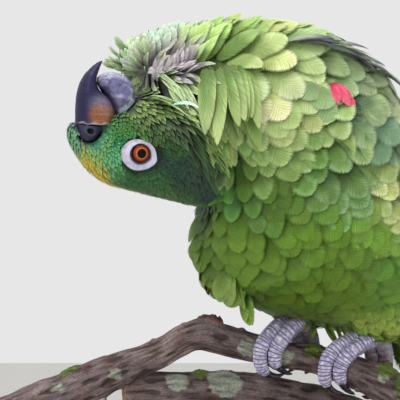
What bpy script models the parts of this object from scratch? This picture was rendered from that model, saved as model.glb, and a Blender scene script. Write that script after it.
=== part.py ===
"""Amazon parrot with its head turned upside down, gripping a cut branch on a display stand.

Metres, +Z up. The origin is the middle of the stand's underside. The bird faces -X and -Y.
Each named part of the bird is one closed solid, out to the tips of its feathers.
"""

import math

import bmesh
import bpy
from mathutils import Matrix, Vector

MM = 0.001
GAP = 0.4 * MM  # left between two solids that meet
UP = Vector((0, 0, 1))
RIGHT, LEFT = -1, 1

# Trunk: an egg on an axis that runs from the vent up to the base of the neck.
BODY_FACING = math.radians(47)  # from -Y towards -X
BODY_PITCH = math.radians(44)
TRUNK_CENTRE = Vector((8, 3, 163)) * MM

# Head: upside down, so that its crown points at the floor and its right side faces -Y.
HEAD_CENTRE = Vector((-83, -45, 193)) * MM  # midway between the eyes
HEAD_PITCH = math.radians(20)
HEAD_YAW = math.radians(15)
EYE_RADIUS = 5.8 * MM
EYE_ASIDE = 14.4 * MM

# Perch: a bent branch and the fork behind it.
PERCH_SIDES = 14
ROD_RADIUS = 3 * MM
ROD_PLACES = (-97 * MM, 42 * MM)  # along X
ROD_SEAT = 5 * MM  # how deep a rod sits in the branch and in the base

BASE_LENGTH = 220 * MM
BASE_WIDTH = 160 * MM
BASE_THICKNESS = 15 * MM
BASE_CORNER = 40 * MM
BASE_BEVEL = 2.5 * MM

# Feet: two toes ahead and two behind, each pair side by side round the perch.
FOOT_PLACES = {RIGHT: -7 * MM, LEFT: 24.5 * MM}  # along X
TOE_RADIUS = 3.2 * MM
TOE_TAPER = 0.16
TOE_SPACING = 3.5 * MM  # of each toe from the middle of its pair
TOE_ROOT_RISE = 8.6 * MM  # of the toes' roots over the bark
TOE_SWINGS = {"front": -11 * MM, "hind": 7 * MM}  # along X, where the pair passes the perch's side
TOE_ENDS = {  # degrees round the perch from its top, positive towards -Y
    ("front", "inner"): 136,
    ("front", "outer"): 142,
    ("hind", "inner"): -96,
    ("hind", "outer"): -112,
}
CLAW_TURN = 48  # degrees
CLAW_RADIUS = 1.9 * MM
SHANK_TOPS = {RIGHT: Vector((3, 8, 17)) * MM, LEFT: Vector((8, 6, 14)) * MM}  # from the pad
THIGH_ENDS = {RIGHT: Vector((3, 7, 7)) * MM, LEFT: Vector((11, 7, 2)) * MM}  # from the pad


def clear_scene():
    for obj in list(bpy.data.objects):
        bpy.data.objects.remove(obj)


def material(name, colour, roughness=0.6, metallic=0.0):
    found = bpy.data.materials.get(name)
    if found:
        return found
    made = bpy.data.materials.new(name)
    made.use_nodes = True
    shader = made.node_tree.nodes["Principled BSDF"]
    shader.inputs["Base Color"].default_value = (*colour, 1)
    shader.inputs["Roughness"].default_value = roughness
    shader.inputs["Metallic"].default_value = metallic
    return made


PLUMAGE = ("plumage", (0.22, 0.42, 0.07), 0.7)
FACE = ("face_plumage", (0.08, 0.32, 0.09), 0.7)
WING = ("wing_plumage", (0.16, 0.30, 0.10), 0.6)
HORN = ("bill_horn", (0.08, 0.06, 0.08), 0.35)
HORN_PALE = ("bill_horn_pale", (0.27, 0.26, 0.33), 0.4)
CERE_SKIN = ("cere_skin", (0.03, 0.025, 0.04), 0.6)
EYE_GLASS = ("eye_gloss", (0.45, 0.12, 0.02), 0.1)
SCALE = ("foot_scale", (0.33, 0.32, 0.38), 0.65)
CLAW = ("claw_horn", (0.03, 0.03, 0.035), 0.35)
BARK = ("bark", (0.20, 0.12, 0.09), 0.9)
STEEL = ("rod_steel", (0.55, 0.55, 0.56), 0.3, 1.0)
WOOD = ("base_wood", (0.10, 0.055, 0.03), 0.45)


def add_object(name, mesh, finish):
    obj = bpy.data.objects.new(name, mesh)
    bpy.context.scene.collection.objects.link(obj)
    mesh.materials.append(material(*finish))
    return obj


def loft(name, rings, finish, tips=(None, None)):
    """A closed solid through rings of points, each end closed by its tip or, where that's None, flat."""
    bm = bmesh.new()
    loops = [[bm.verts.new(point) for point in ring] for ring in rings]
    count = len(loops[0])
    for near, far in zip(loops, loops[1:]):
        for k in range(count):
            after = (k + 1) % count
            bm.faces.new((near[k], near[after], far[after], far[k]))
    for loop, tip in zip((loops[0], loops[-1]), tips):
        if tip is None:
            bm.faces.new(loop)
            continue
        end = bm.verts.new(tip)
        for k in range(count):
            bm.faces.new((loop[k], loop[(k + 1) % count], end))
    bmesh.ops.triangulate(bm, faces=bm.faces)
    bmesh.ops.recalc_face_normals(bm, faces=bm.faces)
    mesh = bpy.data.meshes.new(name)
    bm.to_mesh(mesh)
    bm.free()
    mesh.shade_smooth()
    return add_object(name, mesh, finish)


def oval(centre, side, up, half_width, above, below, exponent=2.0, sides=28):
    """Points of a superellipse whose halves above and below its centre may differ."""
    points = []
    for k in range(sides):
        angle = 2 * math.pi * k / sides
        across, rise = math.cos(angle), math.sin(angle)
        across = math.copysign(abs(across) ** (2 / exponent), across)
        rise = math.copysign(abs(rise) ** (2 / exponent), rise)
        height = above if rise > 0 else below
        points.append(centre + side * across * half_width + up * rise * height)
    return points


def tube(name, points, radii, finish, sides, tips=(None, None), upright=Vector((1, 0, 0.2))):
    """A solid with round sections along a line of points that nowhere runs along upright."""
    rings = []
    for k, point in enumerate(points):
        along = (points[min(k + 1, len(points) - 1)] - points[max(k - 1, 0)]).normalized()
        side = along.cross(upright).normalized()
        rings.append(oval(point, side, side.cross(along), radii[k], radii[k], radii[k], 2.0, sides))
    return loft(name, rings, finish, tips)


def eased(rows, steps):
    """The rows of a table with more rows between them, on a Catmull-Rom curve through each column."""
    padded = [rows[0], *rows, rows[-1]]
    found = []
    for before, start, end, after in zip(padded, padded[1:], padded[2:], padded[3:]):
        for step in range(steps):
            t = step / steps
            found.append(
                [
                    b + 0.5 * t * (c - a + t * (2 * a - 5 * b + 4 * c - d + t * (3 * (b - c) + d - a)))
                    for a, b, c, d in zip(before, start, end, after)
                ]
            )
    found.append(list(rows[-1]))
    return found


def grown(obj, gap=GAP):
    """A hidden copy whose skin stands proud by the gap, for cutting its neighbours."""
    mesh = obj.data.copy()
    for vertex, normal in zip(mesh.vertices, [v.normal.copy() for v in mesh.vertices]):
        vertex.co += normal * gap * 1.15  # more than the gap, because faces stand in from their corners
    cutter = bpy.data.objects.new(obj.name + "_cutter", mesh)
    bpy.context.scene.collection.objects.link(cutter)
    cutter.hide_render = True
    cutter.display_type = "WIRE"
    return cutter


def cut(obj, *others):
    """Takes the room of the other solids, and the gap round them, out of this one."""
    for other in others:
        boolean = obj.modifiers.new("clear_of_" + other.name, "BOOLEAN")
        boolean.operation = "DIFFERENCE"
        boolean.solver = "EXACT"
        boolean.object = grown(other)


# ---------------------------------------------------------------- frames of the body and the head

BODY_FORWARD = Vector(
    (
        -math.sin(BODY_FACING) * math.cos(BODY_PITCH),
        -math.cos(BODY_FACING) * math.cos(BODY_PITCH),
        math.sin(BODY_PITCH),
    )
)
BODY_LEFT = Vector((math.cos(BODY_FACING), -math.sin(BODY_FACING), 0))
BODY_DORSAL = BODY_FORWARD.cross(BODY_LEFT)

HEAD_FORWARD = Vector(
    (
        -math.cos(HEAD_PITCH) * math.cos(HEAD_YAW),
        -math.sin(HEAD_YAW),
        math.sin(HEAD_PITCH) * math.cos(HEAD_YAW),
    )
)
HEAD_CROWN = Vector((-math.sin(HEAD_PITCH), 0, -math.cos(HEAD_PITCH)))
HEAD_LEFT = HEAD_CROWN.cross(HEAD_FORWARD)


def on_body(ahead, left, dorsal):
    """The point this many millimetres ahead, left and dorsal of the trunk's centre."""
    return TRUNK_CENTRE + (BODY_FORWARD * ahead + BODY_LEFT * left + BODY_DORSAL * dorsal) * MM


def on_head(ahead, crown, left=0.0):
    """The point this many millimetres ahead, crownward and left of the head's centre."""
    return HEAD_CENTRE + (HEAD_FORWARD * ahead + HEAD_CROWN * crown + HEAD_LEFT * left) * MM


# ---------------------------------------------------------------- head

HEAD_ROWS = [  # millimetres: ahead of the eyes, crown, throat, half width
    (-52, 6, -14, 9),
    (-47, 10.5, -24, 16),
    (-40, 13.5, -30, 20.5),
    (-30, 15.5, -32, 22.5),
    (-18, 17, -31, 22.5),
    (-8, 18, -30, 21.5),
    (2, 19, -28, 18.8),
    (8, 18.6, -25.5, 15.6),
    (12.5, 17.5, -20, 12.6),
    (16, 16, -13, 10.2),
    (20, 13.4, -9, 8.4),
    (24, 10.6, -6.5, 7.2),
    (28, 7.2, -5.0, 5.6),
    (30.5, 4.0, -3.8, 3.6),
]


def section_across(rows, exponent, sides):
    """Rings square to the head's forward axis, from rows of ahead, crown, throat and half width."""
    rings = []
    for ahead, crown, throat, half_width in rows:
        middle = (crown + throat) / 2
        half_height = (crown - throat) / 2 * MM
        rings.append(
            oval(
                on_head(ahead, middle),
                HEAD_LEFT,
                HEAD_CROWN,
                half_width * MM,
                half_height,
                half_height,
                exponent,
                sides,
            )
        )
    return rings


def make_head():
    rings = section_across(HEAD_ROWS, 2.25, 20)
    return loft("head", rings, FACE, (on_head(-54, -4), on_head(31.6, 0)))


def make_eye(side):
    name = "eye_left" if side == LEFT else "eye_right"
    mesh = bpy.data.meshes.new(name)
    bm = bmesh.new()
    bmesh.ops.create_uvsphere(bm, u_segments=12, v_segments=8, radius=EYE_RADIUS)
    bmesh.ops.translate(bm, vec=on_head(-1.2, 0.2) + HEAD_LEFT * side * EYE_ASIDE, verts=bm.verts)
    bm.to_mesh(mesh)
    bm.free()
    mesh.shade_smooth()
    return add_object(name, mesh, EYE_GLASS)


BILL_UPPER_ROWS = [  # millimetres: culmen ahead and crown, cutting edge ahead and crown, half width
    (28.8, -2.8, 13.2, -9.5, 8.3),
    (30.9, -8.6, 15.2, -13.8, 8.3),
    (32.6, -14.5, 19.8, -18.4, 7.9),
    (33.2, -19.5, 24.6, -20.8, 7.0),
    (32.7, -24.5, 26.7, -24.4, 5.4),
    (31.2, -28.6, 27.0, -28.2, 3.8),
    (29.2, -32.2, 27.0, -31.5, 2.1),
]
BILL_LOWER_ROWS = [  # millimetres: gonys ahead and crown, cutting edge ahead and crown, half width
    (6.2, -23.5, 12.5, -11.0, 8.8),
    (8.8, -28.0, 15.2, -14.6, 9.0),
    (13.2, -30.8, 18.2, -17.6, 8.6),
    (18.0, -31.3, 21.4, -20.2, 7.6),
    (22.4, -30.2, 24.2, -22.0, 6.0),
    (25.4, -27.6, 25.9, -23.4, 4.0),
]
CERE_ROWS = [  # millimetres: ridge ahead and crown, edge ahead and crown, half width
    (28.8, -2.4, 13.6, -6.2, 8.5),
    (28.4, 0.4, 15.2, -3.0, 8.9),
    (27.0, 2.6, 16.6, -0.6, 8.9),
    (24.8, 4.0, 18.4, 1.8, 8.0),
]


def section_between(rows, exponent, sides):
    """Rings of the bill, each through a point on its ridge and one on its cutting edge."""
    rings = []
    for ridge_ahead, ridge_crown, edge_ahead, edge_crown, half_width in rows:
        ridge, edge = on_head(ridge_ahead, ridge_crown), on_head(edge_ahead, edge_crown)
        middle, half = (ridge + edge) / 2, (ridge - edge) / 2
        reach = half.length
        rings.append(
            oval(middle, HEAD_LEFT, half.normalized(), half_width * MM, reach, reach, exponent, sides)
        )
    return rings


def make_bill_upper():
    rings = section_between(BILL_UPPER_ROWS, 2.1, 12)
    return loft("bill_upper", rings, HORN, (None, on_head(26.8, -34.4)))


def make_bill_lower():
    rings = section_between(BILL_LOWER_ROWS, 2.2, 12)
    return loft("bill_lower", rings, HORN_PALE)


def make_cere():
    return loft("cere", section_between(CERE_ROWS, 2.1, 14), CERE_SKIN)


# ---------------------------------------------------------------- neck, trunk, tail

NECK_ROWS = [  # millimetres: x, y, z of the middle; lean towards -X in degrees; half width, above, below
    (22, 2, 174, -34, 34, 42, 30),
    (10, -2, 184, -25, 42, 54, 40),
    (-7, -7, 194, -12, 45, 57, 42),
    (-22, -11, 200, 0, 46, 54, 40),
    (-36, -15, 204, 12, 44, 50, 34),
    (-47, -19, 206, 22, 40, 47, 27),
    (-55, -24, 206, 31, 34, 45, 20),
    (-60, -29, 206, 38, 27, 42, 13),
    (-63, -33, 208, 44, 17, 34, 6),
]


def make_neck():
    """The puffed ruff of the neck, widest where its feathers stand out."""
    rings = []
    for x, y, z, lean, half_width, above, below in NECK_ROWS:
        turn = math.radians(lean)
        up = Vector((-math.sin(turn), 0, math.cos(turn)))
        facing = math.radians(22)
        side = Vector((math.sin(facing), -math.cos(facing), 0))
        rings.append(
            oval(Vector((x, y, z)) * MM, side, up, half_width * MM, above * MM, below * MM, 2.1, 22)
        )
    return loft("neck", rings, PLUMAGE)


def egg(name, centre, along, side, half_length, radius, fullness, finish, rings, sides):
    """An egg on the axis along, fuller towards its end by the share fullness."""
    up = side.cross(along)
    loops = []
    for k in range(1, rings):
        turn = math.pi * k / rings
        size = radius * math.sin(turn) * (1 - fullness * math.cos(turn))
        middle = centre - along * half_length * math.cos(turn)
        loops.append(oval(middle, side, up, size, size, size, 2.15, sides))
    ends = (centre - along * half_length, centre + along * half_length)
    return loft(name, loops, finish, ends)


TRUNK_ROWS = [  # millimetres: ahead of its centre, back, breast, half width
    (-70, 12, 11, 15),
    (-62, 21, 19, 26),
    (-48, 32, 31, 39),
    (-30, 41, 43, 48),
    (-10, 48, 54.5, 53),
    (12, 53, 61, 54),
    (32, 55, 51, 47),
    (50, 49, 36, 37),
    (64, 34, 23, 25),
    (72, 19, 12, 14),
]


def make_trunk():
    rings = []
    for ahead, back, breast, half_width in TRUNK_ROWS:
        rings.append(
            oval(
                on_body(ahead, 0, 0),
                BODY_LEFT,
                BODY_DORSAL,
                half_width * MM,
                back * MM,
                breast * MM,
                2.15,
                24,
            )
        )
    return loft("trunk", rings, PLUMAGE, (on_body(-75, 0, 0), on_body(76, 0, 0)))


TAIL_ROWS = [  # millimetres: behind the trunk's centre, dorsal, half width, half thickness
    (52, 6, 20, 13),
    (72, 4, 19, 9),
    (95, 3, 20.5, 5.5),
    (125, 2, 23.5, 3.6),
    (152, 1.5, 26, 2.6),
    (168, 1, 25.5, 2.0),
    (176, 1, 20, 1.6),
    (180, 1, 12, 1.3),
]


def make_tail():
    rings = []
    for behind, dorsal, half_width, half_thickness in TAIL_ROWS:
        rings.append(
            oval(
                on_body(-behind, 0, dorsal),
                BODY_LEFT,
                BODY_DORSAL,
                half_width * MM,
                half_thickness * MM,
                half_thickness * MM,
                2.6,
                20,
            )
        )
    return loft("tail", rings, WING)


# ---------------------------------------------------------------- wings

WING_ROWS = [  # ahead; lower and upper edge in degrees; the body's half width and back; thickness
    (58, 16, 46, 36, 42, 3),
    (53, 8, 57, 41, 47, 6),
    (42, 5, 63, 46, 52, 7.5),
    (22, 3, 68, 52, 54, 7.5),
    (-5, 4, 72, 53, 49, 6.5),
    (-34, 9, 75, 44, 40, 5.5),
    (-62, 18, 78, 28, 24, 4.2),
    (-90, 26, 79, 20, 14, 3.2),
    (-116, 34, 76, 17, 10, 2.4),
    (-138, 42, 68, 15.5, 8, 1.6),
]
WING_EDGE = 0.9 * MM  # the thickness along a wing's two edges


def make_wing(side):
    """A folded wing, which wraps the trunk from its flank up over its back."""
    rings = []
    steps = 7
    for ahead, low, high, half_width, back, thickness in WING_ROWS:
        outer, inner = [], []
        for k in range(steps + 1):
            share = k / steps
            angle = math.radians(low + (high - low) * share)
            depth = thickness * (1 - abs(2 * share - 1) ** 2.5) + WING_EDGE / MM
            across, rise = math.cos(angle), math.sin(angle)
            inner.append(on_body(ahead, half_width * across * side, back * rise))
            outer.append(on_body(ahead, (half_width + depth) * across * side, (back + depth) * rise))
        rings.append(outer + inner[::-1])
    return loft("wing_left" if side == LEFT else "wing_right", rings, WING)


# ---------------------------------------------------------------- perch

PERCH_ROWS = [  # millimetres: x, y, z of the middle, radius
    (-152, 6, 61, 10.5),
    (-134, 5, 69, 10.5),
    (-115, 4, 77, 10.2),
    (-97, 3, 85, 9.6),
    (-79, 1.5, 92.3, 7.8),
    (-66, 0.5, 98.3, 6.9),
    (-55, 0, 104.2, 7.5),
    (-46, 0, 105.2, 7.9),
    (-33, 0, 101.4, 7.5),
    (-16, 0, 97, 7.1),
    (2, 0, 94, 6.8),
    (18, -1, 89.5, 7.6),
    (34, -3, 83, 8.8),
    (50, -6, 75, 9.4),
    (64, -8.5, 67.5, 9.6),
]
FORK_ROWS = [  # millimetres: x, y, z of the middle, radius
    (-86, 5.5, 77.5, 8.8),
    (-74, 7, 78.5, 9.5),
    (-55, 10, 79, 9.3),
    (-32, 14, 79, 9.2),
    (-8, 18, 75.5, 9.0),
    (14, 22, 70, 8.6),
    (28, 24.5, 65, 8.2),
]


def make_limb(name, rows):
    """A branch through rows of x, y, z and radius, with its two ends cut square."""
    middles = [Vector(row[:3]) * MM for row in rows]
    radii = [row[3] * MM for row in rows]
    return tube(name, middles, radii, BARK, PERCH_SIDES, upright=UP)


def perch_at(x):
    """The middle, direction and radius of the perch at this X, in metres."""
    rows = [[value * MM for value in row] for row in eased(PERCH_ROWS, 8)]
    for near, far in zip(rows, rows[1:]):
        if near[0] <= x <= far[0]:
            share = (x - near[0]) / (far[0] - near[0])
            row = [a + share * (b - a) for a, b in zip(near, far)]
            return Vector(row[:3]), (Vector(far[:3]) - Vector(near[:3])).normalized(), row[3]
    raise ValueError("the perch doesn't reach this far")


# ---------------------------------------------------------------- legs


def round_perch(x, turn, standing_off):
    """The point on the turn, in degrees from the perch's top towards -Y, this far off its bark."""
    middle, along, radius = perch_at(x)
    top = (UP - along * UP.dot(along)).normalized()
    front = along.cross(top) * -1
    if front.y > 0:
        front = -front
    angle = math.radians(turn)
    out = top * math.cos(angle) + front * math.sin(angle)
    return middle + out * (radius + standing_off)


def toe_ridge(side, pair, turn):
    """The middle line of a pair of toes: round the perch, high over the bark at the root."""
    near_top = max(0, 1 - abs(turn) / 75)
    rise = TOE_RADIUS + 1.4 * GAP
    rise += (TOE_ROOT_RISE - rise) * near_top * near_top * (3 - 2 * near_top)
    x = FOOT_PLACES[side] + TOE_SWINGS[pair] * math.sin(math.radians(abs(turn)))
    return round_perch(x, turn, rise)


def beside_ridge(side, pair, turn, aside):
    """The point this far aside of a pair's middle line, towards +X."""
    step = math.copysign(2, turn)
    middle, after = toe_ridge(side, pair, turn), toe_ridge(side, pair, turn + step)
    out = (middle - perch_at(middle.x)[0]).normalized()
    across = (after - middle).normalized().cross(out)
    return middle + across * aside * (1 if across.x > 0 else -1)


def make_foot(side):
    """The shank with its pad on top of the perch, four toes round the perch and their claws."""
    word = "left" if side == LEFT else "right"
    pad = toe_ridge(side, "front", 0)
    shank_top = pad + SHANK_TOPS[side]
    points = [pad + (shank_top - pad) * share for share in (-0.16, 0.02, 0.22, 0.5, 1.0)]
    radii = [size * MM for size in (4.2, 6.3, 5.8, 4.3, 3.8)]
    shank = tube("shank_" + word, points, radii, SCALE, 12)
    toes, claws = [], []
    steps = 6
    for (pair, place), end in TOE_ENDS.items():
        aside = TOE_SPACING * (side if place == "outer" else -side)
        start = math.copysign(8, end)
        turns = [start + (end - start) * k / steps for k in range(steps + 1)]
        points = [beside_ridge(side, pair, turn, aside) for turn in turns]
        radii = [TOE_RADIUS * (1 - TOE_TAPER * k / steps) for k in range(steps + 1)]
        radii[-1] *= 0.8
        toe = tube(f"toe_{word}_{pair}_{place}", points, radii, SCALE, 8)
        cut(toe, shank, *(other for other in toes if pair == "hind" and "front" in other.name))
        toes.append(toe)
        points, radii = [], []
        for k in range(5):
            turn = end + math.copysign(CLAW_TURN * k / 4 - 3, end)
            point = beside_ridge(side, pair, turn, aside)
            middle = perch_at(point.x)[0]
            sunk = (0.9 + 0.9 * k / 4) * MM * k / 4
            points.append(point - (point - middle).normalized() * sunk)
            radii.append(CLAW_RADIUS * (1 - 0.8 * k / 4))
        claw = tube(f"claw_{word}_{pair}_{place}", points[:-1], radii[:-1], CLAW, 7, (None, points[-1]))
        cut(claw, toe)
        claws.append(claw)
    return [shank, *toes, *claws]


def make_thigh(side):
    """The feathered thigh, which hangs from the flank down to the foot."""
    pad = toe_ridge(side, "front", 0)
    low = pad + THIGH_ENDS[side]
    high = on_body(-34, 24 * side, -24)
    along = (low - high).normalized()
    across = along.cross(BODY_LEFT).cross(along).normalized()
    name = "thigh_left" if side == LEFT else "thigh_right"
    half_length = (low - high).length / 2
    return egg(name, (low + high) / 2, along, across, half_length, 14 * MM, -0.25, PLUMAGE, 7, 12)


# ---------------------------------------------------------------- stand


def make_base():
    """A flat board with round corners, lying on the floor."""
    bm = bmesh.new()
    corners = []
    for k, (along, across) in enumerate(((1, 1), (-1, 1), (-1, -1), (1, -1))):
        centre = Vector(
            (along * (BASE_LENGTH / 2 - BASE_CORNER), across * (BASE_WIDTH / 2 - BASE_CORNER), 0)
        )
        for step in range(5):
            angle = math.pi / 2 * (k + step / 4)
            offset = Vector((math.cos(angle), math.sin(angle), 0)) * BASE_CORNER
            corners.append(bm.verts.new(centre + offset))
    face = bm.faces.new(corners)
    raised = bmesh.ops.extrude_face_region(bm, geom=[face])["geom"]
    bmesh.ops.translate(
        bm, vec=UP * BASE_THICKNESS, verts=[item for item in raised if isinstance(item, bmesh.types.BMVert)]
    )
    bmesh.ops.recalc_face_normals(bm, faces=bm.faces)
    mesh = bpy.data.meshes.new("stand_base")
    bm.to_mesh(mesh)
    bm.free()
    base = add_object("stand_base", mesh, WOOD)
    bevel = base.modifiers.new("edge", "BEVEL")
    bevel.width = BASE_BEVEL
    bevel.limit_method = "ANGLE"
    return base


def make_rod(name, x):
    """A steel rod from a blind hole in the base to a blind hole in the perch."""
    middle, _, radius = perch_at(x)
    low = BASE_THICKNESS - ROD_SEAT
    high = middle.z - radius + ROD_SEAT
    points = [Vector((x, middle.y, z)) for z in (low, (low + high) / 2, high)]
    rings = [
        oval(point, Vector((1, 0, 0)), Vector((0, 1, 0)), ROD_RADIUS, ROD_RADIUS, ROD_RADIUS, 2, 16)
        for point in points
    ]
    return loft(name, rings, STEEL)


def main():
    clear_scene()
    head = make_head()
    eyes = [make_eye(RIGHT), make_eye(LEFT)]
    bill_upper, bill_lower, cere = make_bill_upper(), make_bill_lower(), make_cere()
    cut(bill_lower, bill_upper)
    cut(cere, bill_upper, bill_lower)
    cut(head, *eyes, bill_upper, bill_lower, cere)

    wings = [make_wing(RIGHT), make_wing(LEFT)]
    neck, trunk, tail = make_neck(), make_trunk(), make_tail()
    thighs = [make_thigh(RIGHT), make_thigh(LEFT)]
    cut(neck, head, *eyes, bill_upper, bill_lower, cere, *wings)
    cut(trunk, neck, head, *wings, *thighs)
    cut(tail, trunk, *wings, *thighs)

    for side, thigh in zip((RIGHT, LEFT), thighs):
        foot = make_foot(side)
        cut(thigh, *foot)
        cut(trunk, *(piece for piece in foot if "claw" not in piece.name))

    perch = make_limb("perch_branch", PERCH_ROWS)
    fork = make_limb("perch_fork", FORK_ROWS)
    cut(fork, perch)
    base = make_base()
    for name, x in zip(("stand_rod_left", "stand_rod_right"), ROD_PLACES):
        rod = make_rod(name, x)
        cut(perch, rod)
        cut(base, rod)


main()
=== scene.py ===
"""Looks of an amazon parrot that looks at the world upside down, gripping a cut branch on a stand.

Metres, +Z up, in the frame of the solids. One skin carries the whole coat. Each feather is a vane of
barbs that starts on the skin and ends on the solids' outline, following the lie of the coat.
"""

import functools
import math

import bmesh
import bpy
import numpy as np
from bpy.props import FloatProperty, FloatVectorProperty, IntProperty, PointerProperty
from bpy.types import NodeSocket, Operator, Panel, PropertyGroup
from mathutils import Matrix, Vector, kdtree, noise
from mathutils.bvhtree import BVHTree


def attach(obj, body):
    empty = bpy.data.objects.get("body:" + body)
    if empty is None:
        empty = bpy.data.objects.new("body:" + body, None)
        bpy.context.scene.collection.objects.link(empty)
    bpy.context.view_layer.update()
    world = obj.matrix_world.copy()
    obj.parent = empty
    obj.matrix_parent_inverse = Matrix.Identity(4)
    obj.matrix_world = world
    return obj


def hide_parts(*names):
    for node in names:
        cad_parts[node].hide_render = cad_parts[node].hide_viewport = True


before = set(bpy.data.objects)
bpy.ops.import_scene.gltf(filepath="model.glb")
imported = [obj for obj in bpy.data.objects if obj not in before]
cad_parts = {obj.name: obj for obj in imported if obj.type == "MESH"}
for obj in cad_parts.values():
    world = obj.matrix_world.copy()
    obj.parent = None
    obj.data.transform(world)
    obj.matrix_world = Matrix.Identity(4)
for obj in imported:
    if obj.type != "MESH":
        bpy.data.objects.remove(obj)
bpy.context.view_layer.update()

bl_info = {
    "name": "Amazon parrot on a perch",
    "version": (1, 0, 0),
    "blender": (4, 5, 0),
    "location": "View3D > Sidebar > Parrot",
    "description": "Builds the coat, bill, eyes, feet, perch, stand and stage of an amazon parrot",
    "category": "Add Mesh",
}

MM = 0.001
RIGHT, LEFT = -1, 1
SIDES = (("right", RIGHT), ("left", LEFT))
FEATHERED = ("head", "neck", "trunk", "tail", "wing_left", "wing_right", "thigh_left", "thigh_right")
TOES = [(pair, place) for pair in ("front", "hind") for place in ("inner", "outer")]


def unit(vectors):
    """The vectors of an array, each at length 1."""
    return vectors / np.maximum(np.linalg.norm(vectors, axis=-1, keepdims=True), 1e-12)


def smooth(low, high, values):
    """0 up to low, 1 from high, and an even rise between them."""
    share = np.clip((np.asarray(values, float) - low) / (high - low), 0, 1)
    return share * share * (3 - 2 * share)


def turns(count):
    """This many angles evenly round a circle."""
    return np.linspace(0, 2 * np.pi, count, endpoint=False)


def linear(text):
    """An sRGB hex colour as linear red, green and blue."""
    values = [int(text[k : k + 2], 16) / 255 for k in (1, 3, 5)]
    return tuple(v / 12.92 if v <= 0.04045 else ((v + 0.055) / 1.055) ** 2.4 for v in values)


# ---------------- frames of the body and the head

BODY_CENTRE = np.array((8, 3, 163)) * MM
FACING, PITCH = math.radians(47), math.radians(44)
BODY_FORWARD = np.array(
    (-math.sin(FACING) * math.cos(PITCH), -math.cos(FACING) * math.cos(PITCH), math.sin(PITCH))
)
BODY_LEFT = np.array((math.cos(FACING), -math.sin(FACING), 0))
BODY_DORSAL = np.cross(BODY_FORWARD, BODY_LEFT)

HEAD_CENTRE = np.array((-83, -45, 193)) * MM
NOD, TURN = math.radians(20), math.radians(15)
HEAD_FORWARD = np.array(
    (-math.cos(NOD) * math.cos(TURN), -math.sin(TURN), math.sin(NOD) * math.cos(TURN))
)
HEAD_CROWN = np.array((-math.sin(NOD), 0, -math.cos(NOD)))
HEAD_LEFT = np.cross(HEAD_CROWN, HEAD_FORWARD)

FRAMES = {
    "world": (np.zeros(3), np.eye(3)),
    "body": (BODY_CENTRE, np.array((BODY_FORWARD, BODY_LEFT, BODY_DORSAL))),
    "head": (HEAD_CENTRE, np.array((HEAD_FORWARD, HEAD_CROWN, HEAD_LEFT))),
}


def place(frame_name, values):
    """A point given in millimetres in one of the frames."""
    origin, axes = FRAMES[frame_name]
    return origin + np.asarray(values, float) @ axes * MM


def within(frame_name, points):
    """Points as millimetres in one of the frames."""
    origin, axes = FRAMES[frame_name]
    return (points - origin) @ axes.T / MM


def between(rows, at):
    """The rows of a table read at values of its first column, on straight lines between rows."""
    table = np.array(rows, float)
    table = table[np.argsort(table[:, 0])]
    return np.stack([np.interp(at, table[:, 0], column) for column in table.T], -1)


def eased(rows, steps):
    """The rows of a table with more rows between them, on a Catmull-Rom curve through each column."""
    rows = np.array(rows, float)
    padded = np.concatenate([rows[:1], rows, rows[-1:]])
    t = np.arange(steps)[:, None] / steps
    found = []
    for a, b, c, d in zip(padded, padded[1:], padded[2:], padded[3:]):
        found.append(b + 0.5 * t * (c - a + t * (2 * a - 5 * b + 4 * c - d + t * (3 * (b - c) + d - a))))
    return np.concatenate([*found, rows[-1:]])


# ---------------- meshes and materials


def add_object(name, data):
    """An object with this mesh, light or camera, in the scene."""
    made = bpy.data.objects.new(name, data)
    bpy.context.scene.collection.objects.link(made)
    return made


def taken(items, key, width=1, kind=np.int32):
    """A value of every item of a mesh, in rows of this width."""
    values = np.empty(len(items) * width, kind)
    items.foreach_get(key, values)
    return values.reshape(-1, width) if width > 1 else values


def add_mesh(name, points, faces, finish, numbers=(), colours=(), bake=None):
    """A piece from points and faces, with its attributes and, where given, its map for baking."""
    mesh = bpy.data.meshes.new(name)
    points = np.reshape(points, (-1, 3))
    if isinstance(faces, np.ndarray):
        mesh.vertices.add(len(points))
        mesh.vertices.foreach_set("co", points.astype(np.float32).ravel())
        mesh.loops.add(faces.size)
        mesh.loops.foreach_set("vertex_index", faces.astype(np.int32).ravel())
        mesh.polygons.add(len(faces))
        mesh.polygons.foreach_set("loop_start", np.arange(0, faces.size, faces.shape[1], dtype=np.int32))
        mesh.update(calc_edges=True)
    else:
        mesh.from_pydata(points.tolist(), [], faces)
    for key, values in dict(numbers).items():
        attribute = mesh.attributes.new(key, "FLOAT", "POINT")
        attribute.data.foreach_set("value", np.asarray(values, np.float32).ravel())
    for key, values in dict(colours).items():
        attribute = mesh.attributes.new(key, "FLOAT_COLOR", "POINT")
        padded = np.concatenate([np.reshape(values, (-1, 3)), np.ones((len(points), 1))], 1)
        attribute.data.foreach_set("color", padded.astype(np.float32).ravel())
    if bake is not None:
        corners = bake[taken(mesh.loops, "vertex_index")]
        mesh.uv_layers.new(name="OFBake").data.foreach_set("uv", corners.astype(np.float32).ravel())
    mesh.shade_smooth()
    mesh.materials.append(finish)
    obj = add_object(name, mesh)
    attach(obj, "root")
    return obj


def grid_faces(rows, columns, capped=False):
    """Faces over rows of points, each row closed into a ring, with flat caps on both ends if asked for."""
    near, at = np.meshgrid(np.arange(rows - 1), np.arange(columns), indexing="ij")
    low, after = near * columns, (at + 1) % columns
    corners = (low + at, low + after, low + columns + after, low + columns + at)
    faces = np.stack(corners, -1).reshape(-1, 4).tolist()
    if capped:
        faces += [list(range(columns))[::-1], list(range((rows - 1) * columns, rows * columns))]
    return faces


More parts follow.
